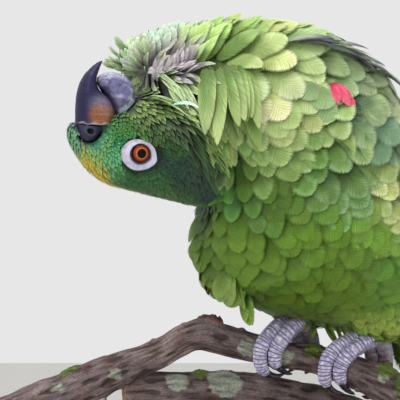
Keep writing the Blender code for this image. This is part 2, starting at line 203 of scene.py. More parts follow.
def add_node(tree, kind, settings=(), inputs=(), stops=()):
    """Adds a node with its settings, its inputs (values or links) and a ramp's stops; gives its outputs."""
    made = tree.nodes.new("ShaderNode" + kind)
    for key, value in dict(settings).items():
        setattr(made, key, value)
    for key, value in dict(inputs).items():
        if isinstance(value, NodeSocket):
            tree.links.new(value, made.inputs[key])
        else:
            made.inputs[key].default_value = value
    if stops:
        ramp = made.color_ramp.elements
        for _ in stops[2:]:
            ramp.new(0.5)
        for element, (position, colour) in zip(ramp, stops):
            element.position = position
            element.color = (*np.broadcast_to(colour, 3), 1)  # one number is a grey
    return made.outputs


def start_material(name, **sockets):
    """A new material with these values on its shader's sockets, its tree and its object coordinates."""
    made = bpy.data.materials.new(name)
    made.use_nodes = True
    tree = made.node_tree
    for key, value in sockets.items():
        tree.nodes["Principled BSDF"].inputs[key.replace("_", " ")].default_value = value
    return made, tree, add_node(tree, "TexCoord")["Object"]


def finish_surface(tree, tone, shades=(), relief=None, strength=0.0, depth=0.0, sunk=False, dullness=None):
    """Links the shader's sockets: a tone times each shade, a relief raised or sunk by a depth, a dullness.

    A shade is an output, or an output and the stops of the ramp that it runs through.
    """
    for shade in shades:
        if isinstance(shade, tuple):
            shade = add_node(tree, "ValToRGB", {}, {"Fac": shade[0]}, shade[1])["Color"]
        inputs = {0: 1.0, 6: tone, 7: shade}  # its share and both colours
        tone = add_node(tree, "Mix", {"data_type": "RGBA", "blend_type": "MULTIPLY"}, inputs)[2]
    found = {"Base Color": tone}
    if dullness:
        found["Roughness"] = dullness
    if relief:
        inputs = {"Height": relief, "Strength": strength, "Distance": depth}
        found["Normal"] = add_node(tree, "Bump", {"invert": sunk}, inputs)["Normal"]
    for key, value in found.items():
        tree.links.new(value, tree.nodes["Principled BSDF"].inputs[key])


# ---------------- the coat's tracts

# name: place (mm), lie, length, width, pitch along, pitch across, depth and rise (mm), stiffness 0..1,
# point 0..1 (0 = blunt), web, fringe and root colours; where a root colour is darker than the web, it also
# paints the shadow under the tips of the feathers above. In the head's and body's frames a place off the
# middle plane is used on both sides.
FACE_TRACTS = [  # on the face: places ahead, towards the crown and to the left
    ("front", (27.9, 2.5, 5.5), (-0.5, 0.85, 0.1), 3.6, 1.9, 1.5, 1.4, 1.2, 0.3, 0.1, 0.6,
     "#589572 #7eb36b #344750"),
    ("lores", (17.8, 6.1, 9), (-0.85, 0.5, 0.1), 3.8, 1.7, 1.5, 1.3, 1.3, 0.25, 0.1, 0.7,
     "#6ca163 #82a74f #3c8669"),
    ("lore_flecks", (13, 5, 12), (-0.9, 0.4, 0.1), 3.8, 1.7, 1.5, 1.3, 1.3, 0.25, 0.1, 0.7,
     "#5caf78 #75be7b #3a845d"),
    ("forehead", (18.5, 11.6, 6.1), (-0.74, 0.64, 0), 5, 2, 2, 1.5, 1.3, 0.25, 0.1, 0.7,
     "#c0a934 #c9b23c #a08e2a"),
    ("fore_edge", (12, 16.2, 4), (-0.74, 0.66, 0), 7, 2.2, 2.6, 1.7, 1.3, 0.4, 0.3, 0.8,
     "#b59f39 #bfa840 #928825"),
    ("before_eye", (10.3, -2, 14), (-1, 0.1, 0.1), 3.2, 1.5, 1.3, 1.2, 1.2, 0.15, 0.1, 0.7,
     "#23753f #2b884d #185632"),
    ("eye_top", (2.6, 14.4, 11.9), (-0.9, 0.45, 0), 4.4, 1.9, 1.7, 1.4, 1.3, 0.2, 0.1, 0.6,
     "#285730 #2d5c33 #1e4924"),
    ("brow", (6.5, 12.5, 9.5), (-0.85, 0.5, 0), 4.2, 1.9, 1.7, 1.4, 1.3, 0.2, 0.1, 0.6,
     "#3f7544 #488048 #2e5a34"),
    ("eye_aft", (-5.6, 11.2, 15.5), (-0.85, 0.5, 0), 4.8, 2.6, 2, 1.9, 1.3, 0.25, 0.1, 0.4,
     "#30572e #3a6937 #214523"),
    ("crown", (-17, 14, 10), (-0.75, 0.65, 0), 6.4, 3.2, 3, 2.5, 1.5, 0.4, 0.15, 0.3,
     "#37562f #43642f #2b4526"),
    ("crown_rear", (-34, 13, 8), (-0.5, 0.85, 0), 9, 4, 4.4, 3, 2.2, 0.8, 0.3, 0.3,
     "#375a30 #50704a #213e24"),
    ("behind_eye", (-14, -1, 20), (-1, 0.1, 0), 4.6, 2, 1.9, 1.5, 1.3, 0.2, 0.1, 0.5,
     "#234131 #274633 #19332b"),
    ("temple", (-23.5, -4.7, 22), (-0.81, 0.55, 0), 7, 3, 3, 2.3, 1.6, 0.5, 0.2, 0.4,
     "#293d2e #324534 #1b2926"),
    ("ear", (-8, -9, 20.5), (-0.8, 0.55, 0), 5.4, 2.4, 2.3, 1.9, 1.4, 0.3, 0.1, 0.5,
     "#2b4e26 #2f5a2f #203b1c"),
    ("cheek", (0.5, -12.4, 18), (-0.76, 0.62, 0), 7, 2.3, 2.9, 1.9, 1.6, 0.5, 0.15, 0.4,
     "#2a4425 #506d35 #132115"),
    ("cheek_top", (5, -17, 13), (-0.76, 0.62, 0), 7, 1.9, 2.6, 1.6, 1.9, 0.8, 0.3, 0.6,
     "#48632f #6c8a45 #24351e"),
    ("gape", (10.5, -8, 13.6), (-0.9, 0.4, 0.1), 4, 2, 1.7, 1.5, 1.3, 0.25, 0.1, 0.5,
     "#417836 #4d8240 #2f6128"),
    ("chin", (5.5, -22, 10), (-0.8, 0.5, 0.3), 6, 2.2, 2.4, 1.9, 2, 0.8, 0.35, 0.6,
     "#6f8a48 #8ca75c #566046"),
    ("throat", (-6, -20, 16.5), (-0.7, 0.68, 0.1), 8, 2.4, 3.4, 2, 2.2, 1, 0.4, 0.6,
     "#35472f #566a43 #192020"),
    ("jaw", (-14, -20, 18.5), (-0.68, 0.7, 0), 11, 2.6, 4.4, 2.2, 2.4, 1.2, 0.5, 0.7,
     "#22321e #39492c #0f1517"),
    ("nape_side", (-25, -15, 21.5), (-0.5, 0.85, 0), 12, 3.4, 5, 2.7, 2.6, 1.2, 0.5, 0.5,
     "#243f24 #2f512b #152c19"),
    ("nape_middle", (-33, -5, 21.5), (-0.35, 0.93, 0), 12, 3.6, 5, 2.8, 2.6, 1.2, 0.4, 0.5,
     "#213730 #2c4136 #132327"),
    ("nape_end", (-39, 2, 19), (-0.3, 0.95, 0), 10, 3.8, 4.4, 3, 2.6, 1, 0.3, 0.5, "#223434 #2a4038 #101d28"),
    ("nape_low", (-42, 8, 12), (-0.35, 0.93, 0), 9, 3.8, 4, 3, 2.6, 0.9, 0.2, 0.4, "#315433 #3d6531 #1a322e"),
]
RUFF_TRACTS = [  # in the ruff, in world axes
    ("beard", (-82, -34, 236), (-0.45, 0, 0.88), 8, 3.4, 3.4, 2.8, 9, 2, 0.5, 0.3, "#8fac74 #cfe2bc #98958f"),
    ("collar", (-72, -32, 244), (-0.15, -0.1, 1), 12, 4.2, 3.6, 3.4, 9, 2, 0.6, 0.3,
     "#b3c8ac #d0e2d2 #a8a4a6"),
    ("down_patch", (-66, -46, 234), (0.4, -0.4, 0.2), 9, 1.8, 2.2, 1.6, 8, 0.6, 0.3, 0.8,
     "#a8a0a8 #b6aeb4 #9c949e"),
    ("slats", (-66, -49, 223), (0.7, -0.25, -0.65), 17, 3.8, 5, 3.4, 8, 1.6, 0.8, 0.7,
     "#8db657 #ddecb5 #384637"),
    ("slats_low", (-58, -54, 215), (0.7, -0.2, -0.7), 15, 3.4, 5, 3.2, 7, 1.4, 0.8, 0.8,
     "#77a343 #cfe59e #1c2b23"),
    ("spires", (-55, -43, 239), (0.1, -0.2, 1), 22, 7, 6.5, 5.5, 9, 1.6, 0.6, 0.4, "#aacd6d #c0e08f #7e984f"),
    ("spires_rear", (-43, -38, 244), (0.35, -0.15, 0.9), 24, 10, 6.5, 7, 9, 1.6, 0.5, 0.3,
     "#8eb160 #a9c57c #628338"),
    ("crest", (-31, -35, 246), (0.45, -0.1, 0.8), 24, 13, 7, 9, 8, 1.3, 0.45, 0.1, "#bccc7c #cedf94 #8c9e57"),
    ("crest_rear", (-17, -34, 246), (0.8, 0, 0.5), 22, 14, 7, 10, 7, 1, 0.5, 0, "#a1be7d #b4d08d #7e9b61"),
    ("page_top", (-46, -52, 234), (0.1, -0.1, -1), 30, 6.5, 8, 5, 8, 1.2, 0.35, 0.2,
     "#93ae64 #bccd90 #6e8648"),
    ("pages", (-43, -55, 212), (0.25, -0.08, -0.96), 22, 6.5, 8, 5, 8, 1.2, 0.35, 0.15,
     "#8fae5c #b0c67e #6c8740"),
    ("pages_low", (-37, -55, 200), (0.3, -0.05, -0.95), 16, 8, 7, 6.5, 7, 1, 0.3, 0.1,
     "#789854 #9fbc72 #506a32"),
    ("fans", (-27, -50, 232), (0.3, 0, -0.95), 20, 16, 8, 11, 7, 1, 0.3, 0, "#d2db9d #e8eabe #a5b869"),
    ("fans_rear", (-8, -47, 231), (0.8, 0, -0.6), 16, 13, 8, 10, 7, 1, 0.25, 0, "#b0c27c #cbd99e #869c51"),
    ("fans_low", (-18, -55, 209), (0.6, 0, -0.8), 19, 14, 7.5, 10, 7, 0.9, 0.22, 0,
     "#96b066 #b6cd88 #728f48"),
    ("shawl", (-3, -53, 200), (0.55, 0, -0.83), 18, 13, 7.5, 11.5, 6.5, 0.9, 0.25, 0,
     "#557d36 #7ba45e #3b5826"),
    ("shawl_end", (8, -53, 186), (0.45, 0, -0.88), 20, 13, 7.5, 12, 6, 0.7, 0.2, 0,
     "#648a48 #8ab078 #42622f"),
    ("bib", (-22, -50, 188), (0.3, 0, -0.95), 19, 12, 6.5, 11, 5, 0.2, 0.12, 0.1, "#4f7221 #537823 #43621b"),
    ("bib_edge", (-35, -46, 178), (0.1, 0, -1), 15, 10, 7, 10, 4.5, 0.2, 0.12, 0.1,
     "#548538 #66a146 #3d6331"),
    ("mantle_top", (-10, -34, 244), (1, 0.05, -0.1), 21, 10, 7, 8, 6, 0.8, 0.3, 0.1,
     "#86a06a #9ab47c #5c7048"),
    ("scapular_top", (8, -30, 240), (0.97, 0.1, -0.25), 24, 14, 10, 12, 5, 0.7, 0.2, 0.1,
     "#7d8f6c #a0b08c #434e40"),
    ("scapular", (17, -40, 224), (0.9, 0.05, -0.45), 23, 16, 10, 13, 5, 0.7, 0.2, 0.1,
     "#86996b #a4b486 #4a5a40"),
    ("shoulder", (10, -52, 212), (0.35, 0, -0.93), 15, 10, 6.5, 9, 5, 0.8, 0.3, 0, "#8fae5c #bcd292 #64823e"),
    ("far_collar", (-60, 10, 236), (0.2, 0.5, 0.9), 18, 5.5, 5, 4.6, 8, 1.6, 0.7, 0.5,
     "#a3bd73 #b8cf96 #798c53"),
    ("far_ruff_top", (-30, 18, 244), (0.6, 0.6, 0.4), 24, 10, 7, 8, 7, 1, 0.4, 0.2,
     "#99b675 #abc784 #78945b"),
    ("far_ruff", (-35, 30, 215), (0.5, 0.7, -0.5), 25, 12, 7.5, 9, 7, 1, 0.35, 0.1,
     "#afc463 #bcd37c #8da03d"),
    ("far_ruff_low", (-42, 22, 190), (0.2, 0.4, -1), 22, 11, 7, 8.5, 6, 0.8, 0.3, 0.1,
     "#628627 #668e32 #516f1c"),
    ("far_shawl", (-12, 42, 205), (0.6, 0.4, -0.7), 24, 14, 7.5, 10, 6, 0.9, 0.3, 0,
     "#b7d87e #c3e592 #8faf5f"),
    ("notch", (-46, -20, 162), (-0.1, 0, -1), 13, 10, 4.5, 7, 3, 0.3, 0.15, 0.1, "#527220 #5c7c26 #3f5616"),
]
BREAST_TRACTS = [  # on the breast and belly: places ahead, to the left and dorsal
    ("breast", (42, 4, -42), (-1, 0, 0.1), 16, 13, 6.2, 12.5, 5, 0.2, 0.05, 0, "#5f8021 #648724 #51701c"),
    ("breast_side", (34, 34, -33), (-1, 0.1, 0.1), 16, 13, 6.2, 12.5, 5, 0.2, 0.1, 0,
     "#5c8022 #618724 #4e6e1c"),
    ("breast_flank", (17, 50, -17), (-1, 0.1, 0.1), 16, 13, 6.4, 12, 5, 0.2, 0.15, 0,
     "#739d37 #79a53a #62872e"),
    ("side_down", (22, 52, 2), (-1, 0.1, 0), 15, 8, 5, 6.5, 4.5, 1.2, 0.25, 0.1, "#b9c878 #dfe8b0 #7f924e"),
    ("belly", (8, 4, -57), (-1, 0, 0.2), 16, 13, 6.2, 12.5, 5, 0.2, 0.05, 0, "#496709 #4d6c09 #3d5706"),
    ("belly_side", (10, 38, -44), (-1, 0, 0.1), 16, 13, 6.2, 12.5, 5, 0.2, 0.05, 0,
     "#5b7b1e #608220 #4e6918"),
    ("belly_flank", (-10, 48, -20), (-1, 0, 0), 16, 13, 6.4, 12, 4.5, 0.2, 0.1, 0, "#5a862c #5f8d2f #4d7325"),
    ("vent", (-38, 4, -38), (-1, 0, 0.3), 17, 12, 6, 10, 4.5, 0.6, 0.1, 0.1, "#637d2a #698331 #4f6724"),
    ("under_tail", (-66, 4, -14), (-1, 0, 0), 24, 13, 8, 9, 3, 0.4, 0, 0.1, "#759735 #8cad45 #4f6e20"),
    ("thigh", (-36, 28, -32), (-0.8, 0.2, -0.4), 14, 8, 4.6, 6.6, 3, 0.2, 0.1, 0.1,
     "#7f9a3e #a3ae50 #5a7830"),
]
TUFT_TRACTS = [  # tufts at the breast's left edge, in world axes
    ("left_tuft", (-50, -8, 146), (-0.25, 0.05, -0.95), 15, 13, 3.6, 6.5, 5, 1.6, 0.5, 0.1,
     "#6f7f2e #7a8a36 #5a6626"),
    ("low_tuft", (-40, -16, 130), (0.2, 0.05, -1), 14, 11, 4, 6.5, 5, 1.4, 0.6, 0, "#435c14 #466116 #384f10"),
]
BACK_TRACTS = [  # on the back, rump and wing coverts
    ("mantle", (44, 8, 50), (-1, 0, -0.1), 20, 14, 8, 11, 4, 0.6, 0.1, 0, "#7a9562 #9cb385 #46553c"),
    ("back", (12, 10, 54), (-1, 0, -0.1), 20, 14, 8, 11, 4, 0.5, 0.05, 0, "#6b9446 #84ab5c #4a6c30"),
    ("rump", (-30, 8, 42), (-1, 0, -0.2), 20, 13, 8, 10, 4, 0.5, 0.05, 0, "#6a9638 #80a94a #4c6f24"),
    ("upper_tail", (-64, 6, 17), (-1, 0, 0), 26, 14, 9, 9, 3, 0.4, 0, 0.1, "#6a9638 #80a94a #4c6f24"),
    ("wing_bend", (57, 33, 27), (-1, 0.2, 0), 8, 7.5, 3.8, 5, 1.2, 0.3, 0.05, 0, "#829f62 #98ae74 #647b4e"),
    ("wing_front", (45, 46, 24), (-1, 0.1, 0), 18, 15, 9, 12.5, 1.4, 0.3, 0.05, 0, "#769672 #89a484 #557659"),
    ("wing_shoulder", (40, 40, 42), (-1, 0, 0), 19, 16, 9.5, 13, 1.4, 0.3, 0.05, 0,
     "#98ab75 #b6ba94 #758f51"),
    ("wing_middle", (22, 51, 24), (-1, 0, 0), 24, 19, 12, 16, 1.6, 0.35, 0.05, 0, "#7b9261 #9cad80 #435a39"),
    ("wing_low", (20, 55, 8), (-1, 0.1, 0), 15, 12, 7, 9.5, 1.6, 0.4, 0.05, 0, "#7c8e5a #95a26b #5c7340"),
    ("wing_high", (18, 34, 53), (-1, 0, 0), 25, 19, 12, 16, 1.6, 0.3, 0.05, 0, "#a3b083 #c3cba2 #6f7d5c"),
    ("wing_rear", (-10, 44, 36), (-1, 0, 0), 24, 15, 10, 11, 1.6, 0.3, 0, 0, "#6f9452 #93b072 #48643a"),
]
TRACTS = (
    ("head", FACE_TRACTS),
    ("world", RUFF_TRACTS),
    ("body", BREAST_TRACTS),
    ("world", TUFT_TRACTS),
    ("body", BACK_TRACTS),
)
TUFTS = [  # world millimetres, reach and height: where the coat stands off the flesh
    ((-49, -8, 147), 11, 7.0),
    ((-42, -12, 130), 9, 4.5),
]
NUMBERS = ("length", "width", "along", "across", "depth", "rise", "stiff", "point")


@functools.cache
def tract_table():
    """The tracts as arrays: places and lies in world axes, the numbers by name, and the three colours."""
    places, lies, numbers, colours = [], [], [], []
    for frame_name, rows in TRACTS:
        mirror = {"world": None, "body": 1, "head": 2}[frame_name]
        for _, spot, lie, *rest, tones in rows:
            for side in (1, -1) if mirror and spot[mirror] else (1,):
                flip = np.ones(3)
                if mirror:
                    flip[mirror] = side
                places.append(place(frame_name, spot * flip))
                lies.append((lie * flip) @ FRAMES[frame_name][1])
                numbers.append(rest)
                colours.append([linear(text) for text in tones.split()])
    return np.array(places), unit(np.array(lies)), np.array(numbers, float), np.array(colours)


def blended(points, values, sharpness=2.2):
    """Values of the tracts blended at points, each tract ruling near its own place."""
    places = tract_table()[0]
    apart = np.linalg.norm(points[:, None] - places[None], axis=-1) / MM
    share = 1 / (apart**2 + 4) ** sharpness
    share /= share.sum(1, keepdims=True)
    return np.tensordot(share, values, 1)


# ---------------- the hull of the coat and its skin


VOXEL = 1.4 * MM  # of the hull, fine enough for the shoulders and coarse enough to run the solids together
HULL_ENDS = {"tail": -104, "wing_left": -72, "wing_right": -72}  # how far back (mm) the hull takes each


class Surface:
    """A triangle mesh that can be asked for its nearest points."""

    def __init__(self, points, triangles):
        self.points, self.triangles = points, triangles
        corners = points[triangles]
        cross = np.cross(corners[:, 1] - corners[:, 0], corners[:, 2] - corners[:, 0])
        self.areas = np.linalg.norm(cross, axis=1) / 2
        summed = np.zeros_like(points)
        for k in range(3):
            for axis in range(3):
                summed[:, axis] += np.bincount(triangles[:, k], cross[:, axis], len(points))
        self.normals = unit(summed)
        self.tree = BVHTree.FromPolygons(points.tolist(), triangles.tolist())

    def locate(self, points):
        """The triangle, the weights of its corners and the nearest point, for each point."""
        found = [self.tree.find_nearest(point) for point in points.tolist()]
        index = np.array([hit[2] for hit in found])
        spot = np.array([hit[0] for hit in found])
        a, b, c = np.moveaxis(self.points[self.triangles[index]], 1, 0)
        ab, ac, ap = b - a, c - a, spot - a
        bb, bc, cc = (ab * ab).sum(1), (ab * ac).sum(1), (ac * ac).sum(1)
        pb, pc = (ap * ab).sum(1), (ap * ac).sum(1)
        under = np.maximum(bb * cc - bc * bc, 1e-30)
        v, w = (cc * pb - bc * pc) / under, (bb * pc - bc * pb) / under
        return index, np.stack([1 - v - w, v, w], 1), spot

    def read(self, values, index, weights):
        """Values held at the corners, read inside the triangles."""
        weights = weights.reshape(len(index), 3, *[1] * (values.ndim - 1))
        return (values[self.triangles[index]] * weights).sum(1)


def solid_of(names, swell=0.0, keep=()):
    """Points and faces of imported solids, each swelled by a distance, without what keep leaves out."""
    points, faces = [], []
    for name in names:
        bm = bmesh.new()
        bm.from_mesh(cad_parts[name].data)
        bmesh.ops.remove_doubles(bm, verts=bm.verts, dist=1e-6)
        if name in keep:
            spot, out = keep[name]
            whole = list(bm.verts) + list(bm.edges) + list(bm.faces)
            bmesh.ops.bisect_plane(bm, geom=whole, plane_co=spot, plane_no=out, clear_outer=True)
            bmesh.ops.holes_fill(bm, edges=[edge for edge in bm.edges if edge.is_boundary])
        bmesh.ops.recalc_face_normals(bm, faces=bm.faces)
        bm.normal_update()
        start = len(points)
        points += [vertex.co + vertex.normal * swell for vertex in bm.verts]
        bm.verts.index_update()
        faces += [[start + vertex.index for vertex in face.verts] for face in bm.faces]
        bm.free()
    return points, faces


def spread(values, edges, rounds):
    """Values at the points of a mesh, evened out with their neighbours'."""
    count = np.maximum(np.bincount(edges.ravel(), minlength=len(values)), 1)[:, None]
    values = np.array(values, float).reshape(len(values), -1)
    (near, far), size = edges.T, len(values)
    for _ in range(rounds):
        total = [np.bincount(near, v[far], size) + np.bincount(far, v[near], size) for v in values.T]
        values = values * 0.5 + np.stack(total, 1) / count * 0.5
    return values


@functools.cache
def coat():
    """The coat's outer hull, with the skin under it and the tracts' values at its points."""
    keep = {
        name: (Vector(place("body", (ahead, 0, 0))), Vector(-BODY_FORWARD))
        for name, ahead in HULL_ENDS.items()
    }
    points, faces = solid_of(FEATHERED, 0.5 * MM, keep)
    mesh = bpy.data.meshes.new("hull")
    mesh.from_pydata(points, [], faces)
    obj = add_object("hull", mesh)
    remesh = obj.modifiers.new("one_body", "REMESH")
    remesh.mode = "VOXEL"
    remesh.voxel_size = VOXEL
    evened = obj.modifiers.new("evened", "SMOOTH")
    evened.iterations = 6
    evened.factor = 0.5
    bpy.context.view_layer.update()
    done = bpy.data.meshes.new_from_object(obj.evaluated_get(bpy.context.evaluated_depsgraph_get()))
    bpy.data.objects.remove(obj)
    bpy.data.meshes.remove(mesh)

    done.calc_loop_triangles()
    edges, triangles = taken(done.edges, "vertices", 2), taken(done.loop_triangles, "vertices", 3)
    hull = Surface(taken(done.vertices, "co", 3, np.float32).astype(float), triangles)
    hull.normals = unit(spread(hull.normals, edges, 4))
    flesh = hull.points
    rise = np.zeros(len(flesh))
    for spot, reach, height in TUFTS:
        away = np.linalg.norm(flesh - np.array(spot) * MM, axis=1) / MM
        rise += height * np.exp(-((away / reach) ** 2)) * MM
    hull = Surface(flesh + hull.normals * rise[:, None], hull.triangles)
    hull.normals = unit(spread(hull.normals, edges, 4))
    hull.edges = edges
    _, lies, numbers, colours = tract_table()
    hull.numbers = blended(hull.points, numbers)
    hull.colours = blended(hull.points, colours, 2.6)
    lie = blended(hull.points, lies, 2.8)
    lie -= hull.normals * (lie * hull.normals).sum(1, keepdims=True)
    agreed = np.clip(0.3 + np.linalg.norm(lie, axis=1), 0.55, 1)[:, None]
    hull.numbers[:, [0, 2]] *= agreed  # shorter and closer where tracts part
    hull.lie = unit(spread(unit(lie), edges, 12))
    hull.skin = spread(flesh - hull.normals * inward_room(hull)[:, None], edges, 2)
    hull.chart = None
    hull.skin_faces = [list(polygon.vertices) for polygon in done.polygons]
    bpy.data.meshes.remove(done)
    return hull


def inward_room(hull):
    """How far the skin lies under each point of the hull: the coat's depth, or less where it is thin."""
    depth = hull.numbers[:, NUMBERS.index("depth")] * MM
    through = np.full(len(hull.points), 1.0)
    starts = hull.points - hull.normals * 0.2 * MM
    for k, (start, out) in enumerate(zip(starts.tolist(), hull.normals.tolist())):
        hit = hull.tree.ray_cast(start, [-value for value in out], 0.08)
        if hit[0] is not None:
            through[k] = hit[3]
    depth = np.minimum(depth, 0.3 * through)
    return spread(depth, hull.edges, 14)[:, 0]


# ---------------- feathers


SIZES = ((2.0, 4), (3.2, 6), (5, 9), (8, 16), (12, 28), (40, 40))  # widest feather (mm), barbs on each side
POINTS = (0.0, 0.3, 0.6, 0.9)
PATCH = (0.0014, 0.0028)  # width and length of one feather's place on the map
MOST_TRIANGLES = 190000  # in one piece
BARB_STEP = 61.7  # between the barb numbers of neighbours, so that no two feathers have the same streaks
EYE = (-1.2, 0.2, 14.4)  # ahead, crown and left or right of the head's middle (mm)


@functools.cache
def vane(barbs, point, seed, teeth=0.1):
    """The pattern of one feather: rows of (along 0..1, aside -1..1, barb number, share out from the shaft).

    Each barb runs from the shaft to the outline. Neighbours hold together for most of their length, and
    their tips part into a fringe of teeth, whose share of the width is given.
    """
    chance = np.random.default_rng(seed)
    u = np.linspace(0, 1, barbs + 1)
    shaft = np.stack([0.03 + 0.91 * u, np.zeros_like(u)], 1)
    along = 0.06 + 0.94 * (1 - (1 - u) ** (1.8 - 0.4 * point))
    widest = 0.62 - 0.25 * point
    beyond = np.clip((along - widest) / (1 - widest), 0, 1)
    aside = (1 - beyond ** (2 - 0.6 * point)) ** (0.5 + 0.45 * point)
    outline = np.stack([along, aside * np.minimum(1, along / 0.32) ** 0.55], 1)
    parted = teeth * (chance.random(barbs + 1) ** 3 * 0.6 + 0.7 * (chance.random(barbs + 1) < 0.05))
    rows, triangles = [], []
    for side in (-1, 1):
        levels = []
        for share in (0.0, 0.45, 1 - teeth):
            shared = (share - parted * (share > 0.5))[:, None]
            spots = shaft * (1 - shared) + outline * shared
            spots[:, 0] += 0.025 * math.sin(math.pi * share)
            levels.append(len(rows))
            rows += [(t, s * side, k, share) for k, (t, s) in enumerate(spots)]
        tips, last = len(rows), levels[-1]
        for k in range(barbs):
            reach = 1 + chance.uniform(-0.06, 0.04) * 20 / (16 + barbs)
            middle, root = (outline[k] + outline[k + 1]) / 2, (shaft[k] + shaft[k + 1]) / 2
            t, s = root + (middle - root) * reach
            rows.append((t + 0.012 + chance.uniform(-0.008, 0.012), s * side, k + 0.5, 1.0))
        for near, far in zip(levels, levels[1:]):
            for k in range(barbs):
                a, b, c, d = (near + k, near + k + 1, far + k + 1, far + k)[::side]
                triangles += [(a, b, c), (a, c, d)]
        triangles += [(last + k, last + k + 1, tips + k)[::side] for k in range(barbs)]
    return np.array(rows), np.array(triangles)


def scatter_roots(hull, allowed, chance, tightness):
    """Roots over the hull in staggered rows, spaced by the tracts, and the triangles that hold them."""
    along, across = (hull.numbers[:, NUMBERS.index(pitch)] * MM for pitch in ("along", "across"))
    room = (along * across)[hull.triangles].mean(1)
    weight = hull.areas / room * allowed[hull.triangles].all(1)
    count = int(weight.sum() * 14)
    index = chance.choice(len(weight), count, p=weight / weight.sum())
    a, b = chance.random((2, count))
    a, b = np.where(a + b > 1, 1 - a, a), np.where(a + b > 1, 1 - b, b)
    weights = np.stack([1 - a - b, a, b], 1)
    spots = hull.read(hull.points, index, weights)
    lies = unit(hull.read(hull.lie, index, weights))
    normals = unit(hull.read(hull.normals, index, weights))
    along = hull.read(along, index, weights) * 1.08 * tightness
    across = hull.read(across, index, weights) * 1.08 * tightness
    tree = kdtree.KDTree(count)
    for k, spot in enumerate(spots):
        tree.insert(spot, k)
    tree.balance()
    start = place("head", (22, 0, 0))
    order = np.argsort(np.linalg.norm(spots - start, axis=1) + chance.normal(0, 1, count) * along * 0.35)
    free = np.ones(count, bool)
    chosen = []
    for k in order:
        if not free[k]:
            continue
        chosen.append(k)
        near = np.array([hit[1] for hit in tree.find_range(spots[k], max(along[k], across[k]))])
        apart = spots[near] - spots[k]
        ahead = apart @ lies[k]
        aside = np.sqrt(np.maximum((apart * apart).sum(1) - ahead**2, 0))
        close = (ahead / along[k]) ** 2 + (aside / across[k]) ** 2 < 1
        free[near[close & (normals[near] @ normals[k] > 0.2)]] = False
    chosen = np.array(chosen)
    return index[chosen], weights[chosen]


def shaft_lines(hull, index, weights, lengths, stiff, steps=7):
    """Lines over the hull from each root along the lie, with the hull's normals under them."""
    spots = hull.read(hull.points, index, weights)
    heading = unit(hull.read(hull.lie, index, weights))
    normals = unit(hull.read(hull.normals, index, weights))
    lines, ups = [spots], [normals]
    stride = (lengths / (steps - 1))[:, None]
    hold = stiff[:, None]
    for _ in range(steps - 1):
        ahead = lines[-1] + heading * stride
        index, weights, on_hull = hull.locate(ahead)
        normals = unit(hull.read(hull.normals, index, weights))
        lie = unit(hull.read(hull.lie, index, weights))
        spots = on_hull + (ahead - on_hull) * hold
        bent = unit(heading * (0.55 + 0.45 * hold) + lie * 0.45 * (1 - hold))
        tangent = bent - normals * (bent * normals).sum(1, keepdims=True)
        heading = unit(tangent * (1 - hold) + heading * hold)
        lines.append(spots)
        ups.append(unit(ups[-1] * hold + normals * (1 - hold)))
    return np.stack(lines, 1), np.stack(ups, 1)


def lay_vanes(lines, ups, widths, patterns, pattern_of, height, chance, rolling=0.04, sway=0.0):
    """Points of every feather of one pattern size.

    height gives the rise off the line from (along, aside, share out), rolling how far each feather leans
    to one side, and sway how far its tip bends aside.
    """
    steps = lines.shape[1]
    rows = np.stack([pattern[0] for pattern in patterns])[pattern_of]
    along, aside, out = rows[..., 0], rows[..., 1], rows[..., 3]
    at = np.clip(along, 0, 1) * (steps - 1)
    low = np.minimum(at.astype(int), steps - 2)
    share = (at - low)[..., None]
    pick = np.arange(len(lines))[:, None]
    spots = lines[pick, low] * (1 - share) + lines[pick, low + 1] * share
    ups_here = unit(ups[pick, low] * (1 - share) + ups[pick, low + 1] * share)
    headings = np.gradient(lines, axis=1)
    ahead = unit(headings[pick, low] * (1 - share) + headings[pick, low + 1] * share)
    beyond = np.maximum(along - 1, 0) * np.linalg.norm(headings[:, -1], axis=1)[:, None] * (steps - 1)
    spots = spots + ahead * beyond[..., None]
    ups_here = unit(ups_here - ahead * (ups_here * ahead).sum(-1, keepdims=True))
    across = np.cross(ups_here, ahead)
    roll = chance.normal(0, rolling, len(lines))[:, None, None]
    reach = (aside * widths[:, None] / 2)[..., None]
    spots = spots + across * reach * np.cos(roll) + ups_here * reach * np.sin(roll)
    spots = spots + across * (sway * along**2)[..., None] + ups_here * height(along, aside, out)[..., None]
    return spots, rows


def feather_colours(rows, root, web, fringe, chance, shown):
    """Root, web and fringe colours over each feather, whose last share shows, and which differ a little."""
    along, out = rows[..., 0:1], rows[..., 3:4]
    shown = np.reshape(shown, (-1, 1, 1))
    bare = (along - 1 + shown) / shown
    soft = 0.60 - 0.45 * smooth(0.3, 0.6, shown)
    edge = smooth(soft, 1.0, np.maximum(out * smooth(-0.2, 0.4, bare), smooth(soft - 0.15, 1.1, bare)))
    colour = web[:, None] * (1 - edge) + fringe[:, None] * edge
    # the root colour reaches a little way into the shown share: where the root is darker, this is painted
    # shadow under the tip of the feather above
    root_and_painted_shadow = 1 - smooth(-0.25, 0.32, bare)
    colour = colour * (1 - root_and_painted_shadow) + root[:, None] * root_and_painted_shadow
    tone = np.exp(chance.normal(0, 0.07, (len(rows), 1, 1)))
    tint = np.exp(chance.normal(0, 0.035, (len(rows), 1, 3)))
    return np.clip(colour * tone * tint, 0, 1)


def bake_map(rows, charts):
    """Each feather as a small patch at its root's place on the skin's own unwrap."""
    patch = np.stack([rows[..., 1] * PATCH[0], (rows[..., 0] - 0.5) * PATCH[1]], -1)
    return charts[:, None] + patch


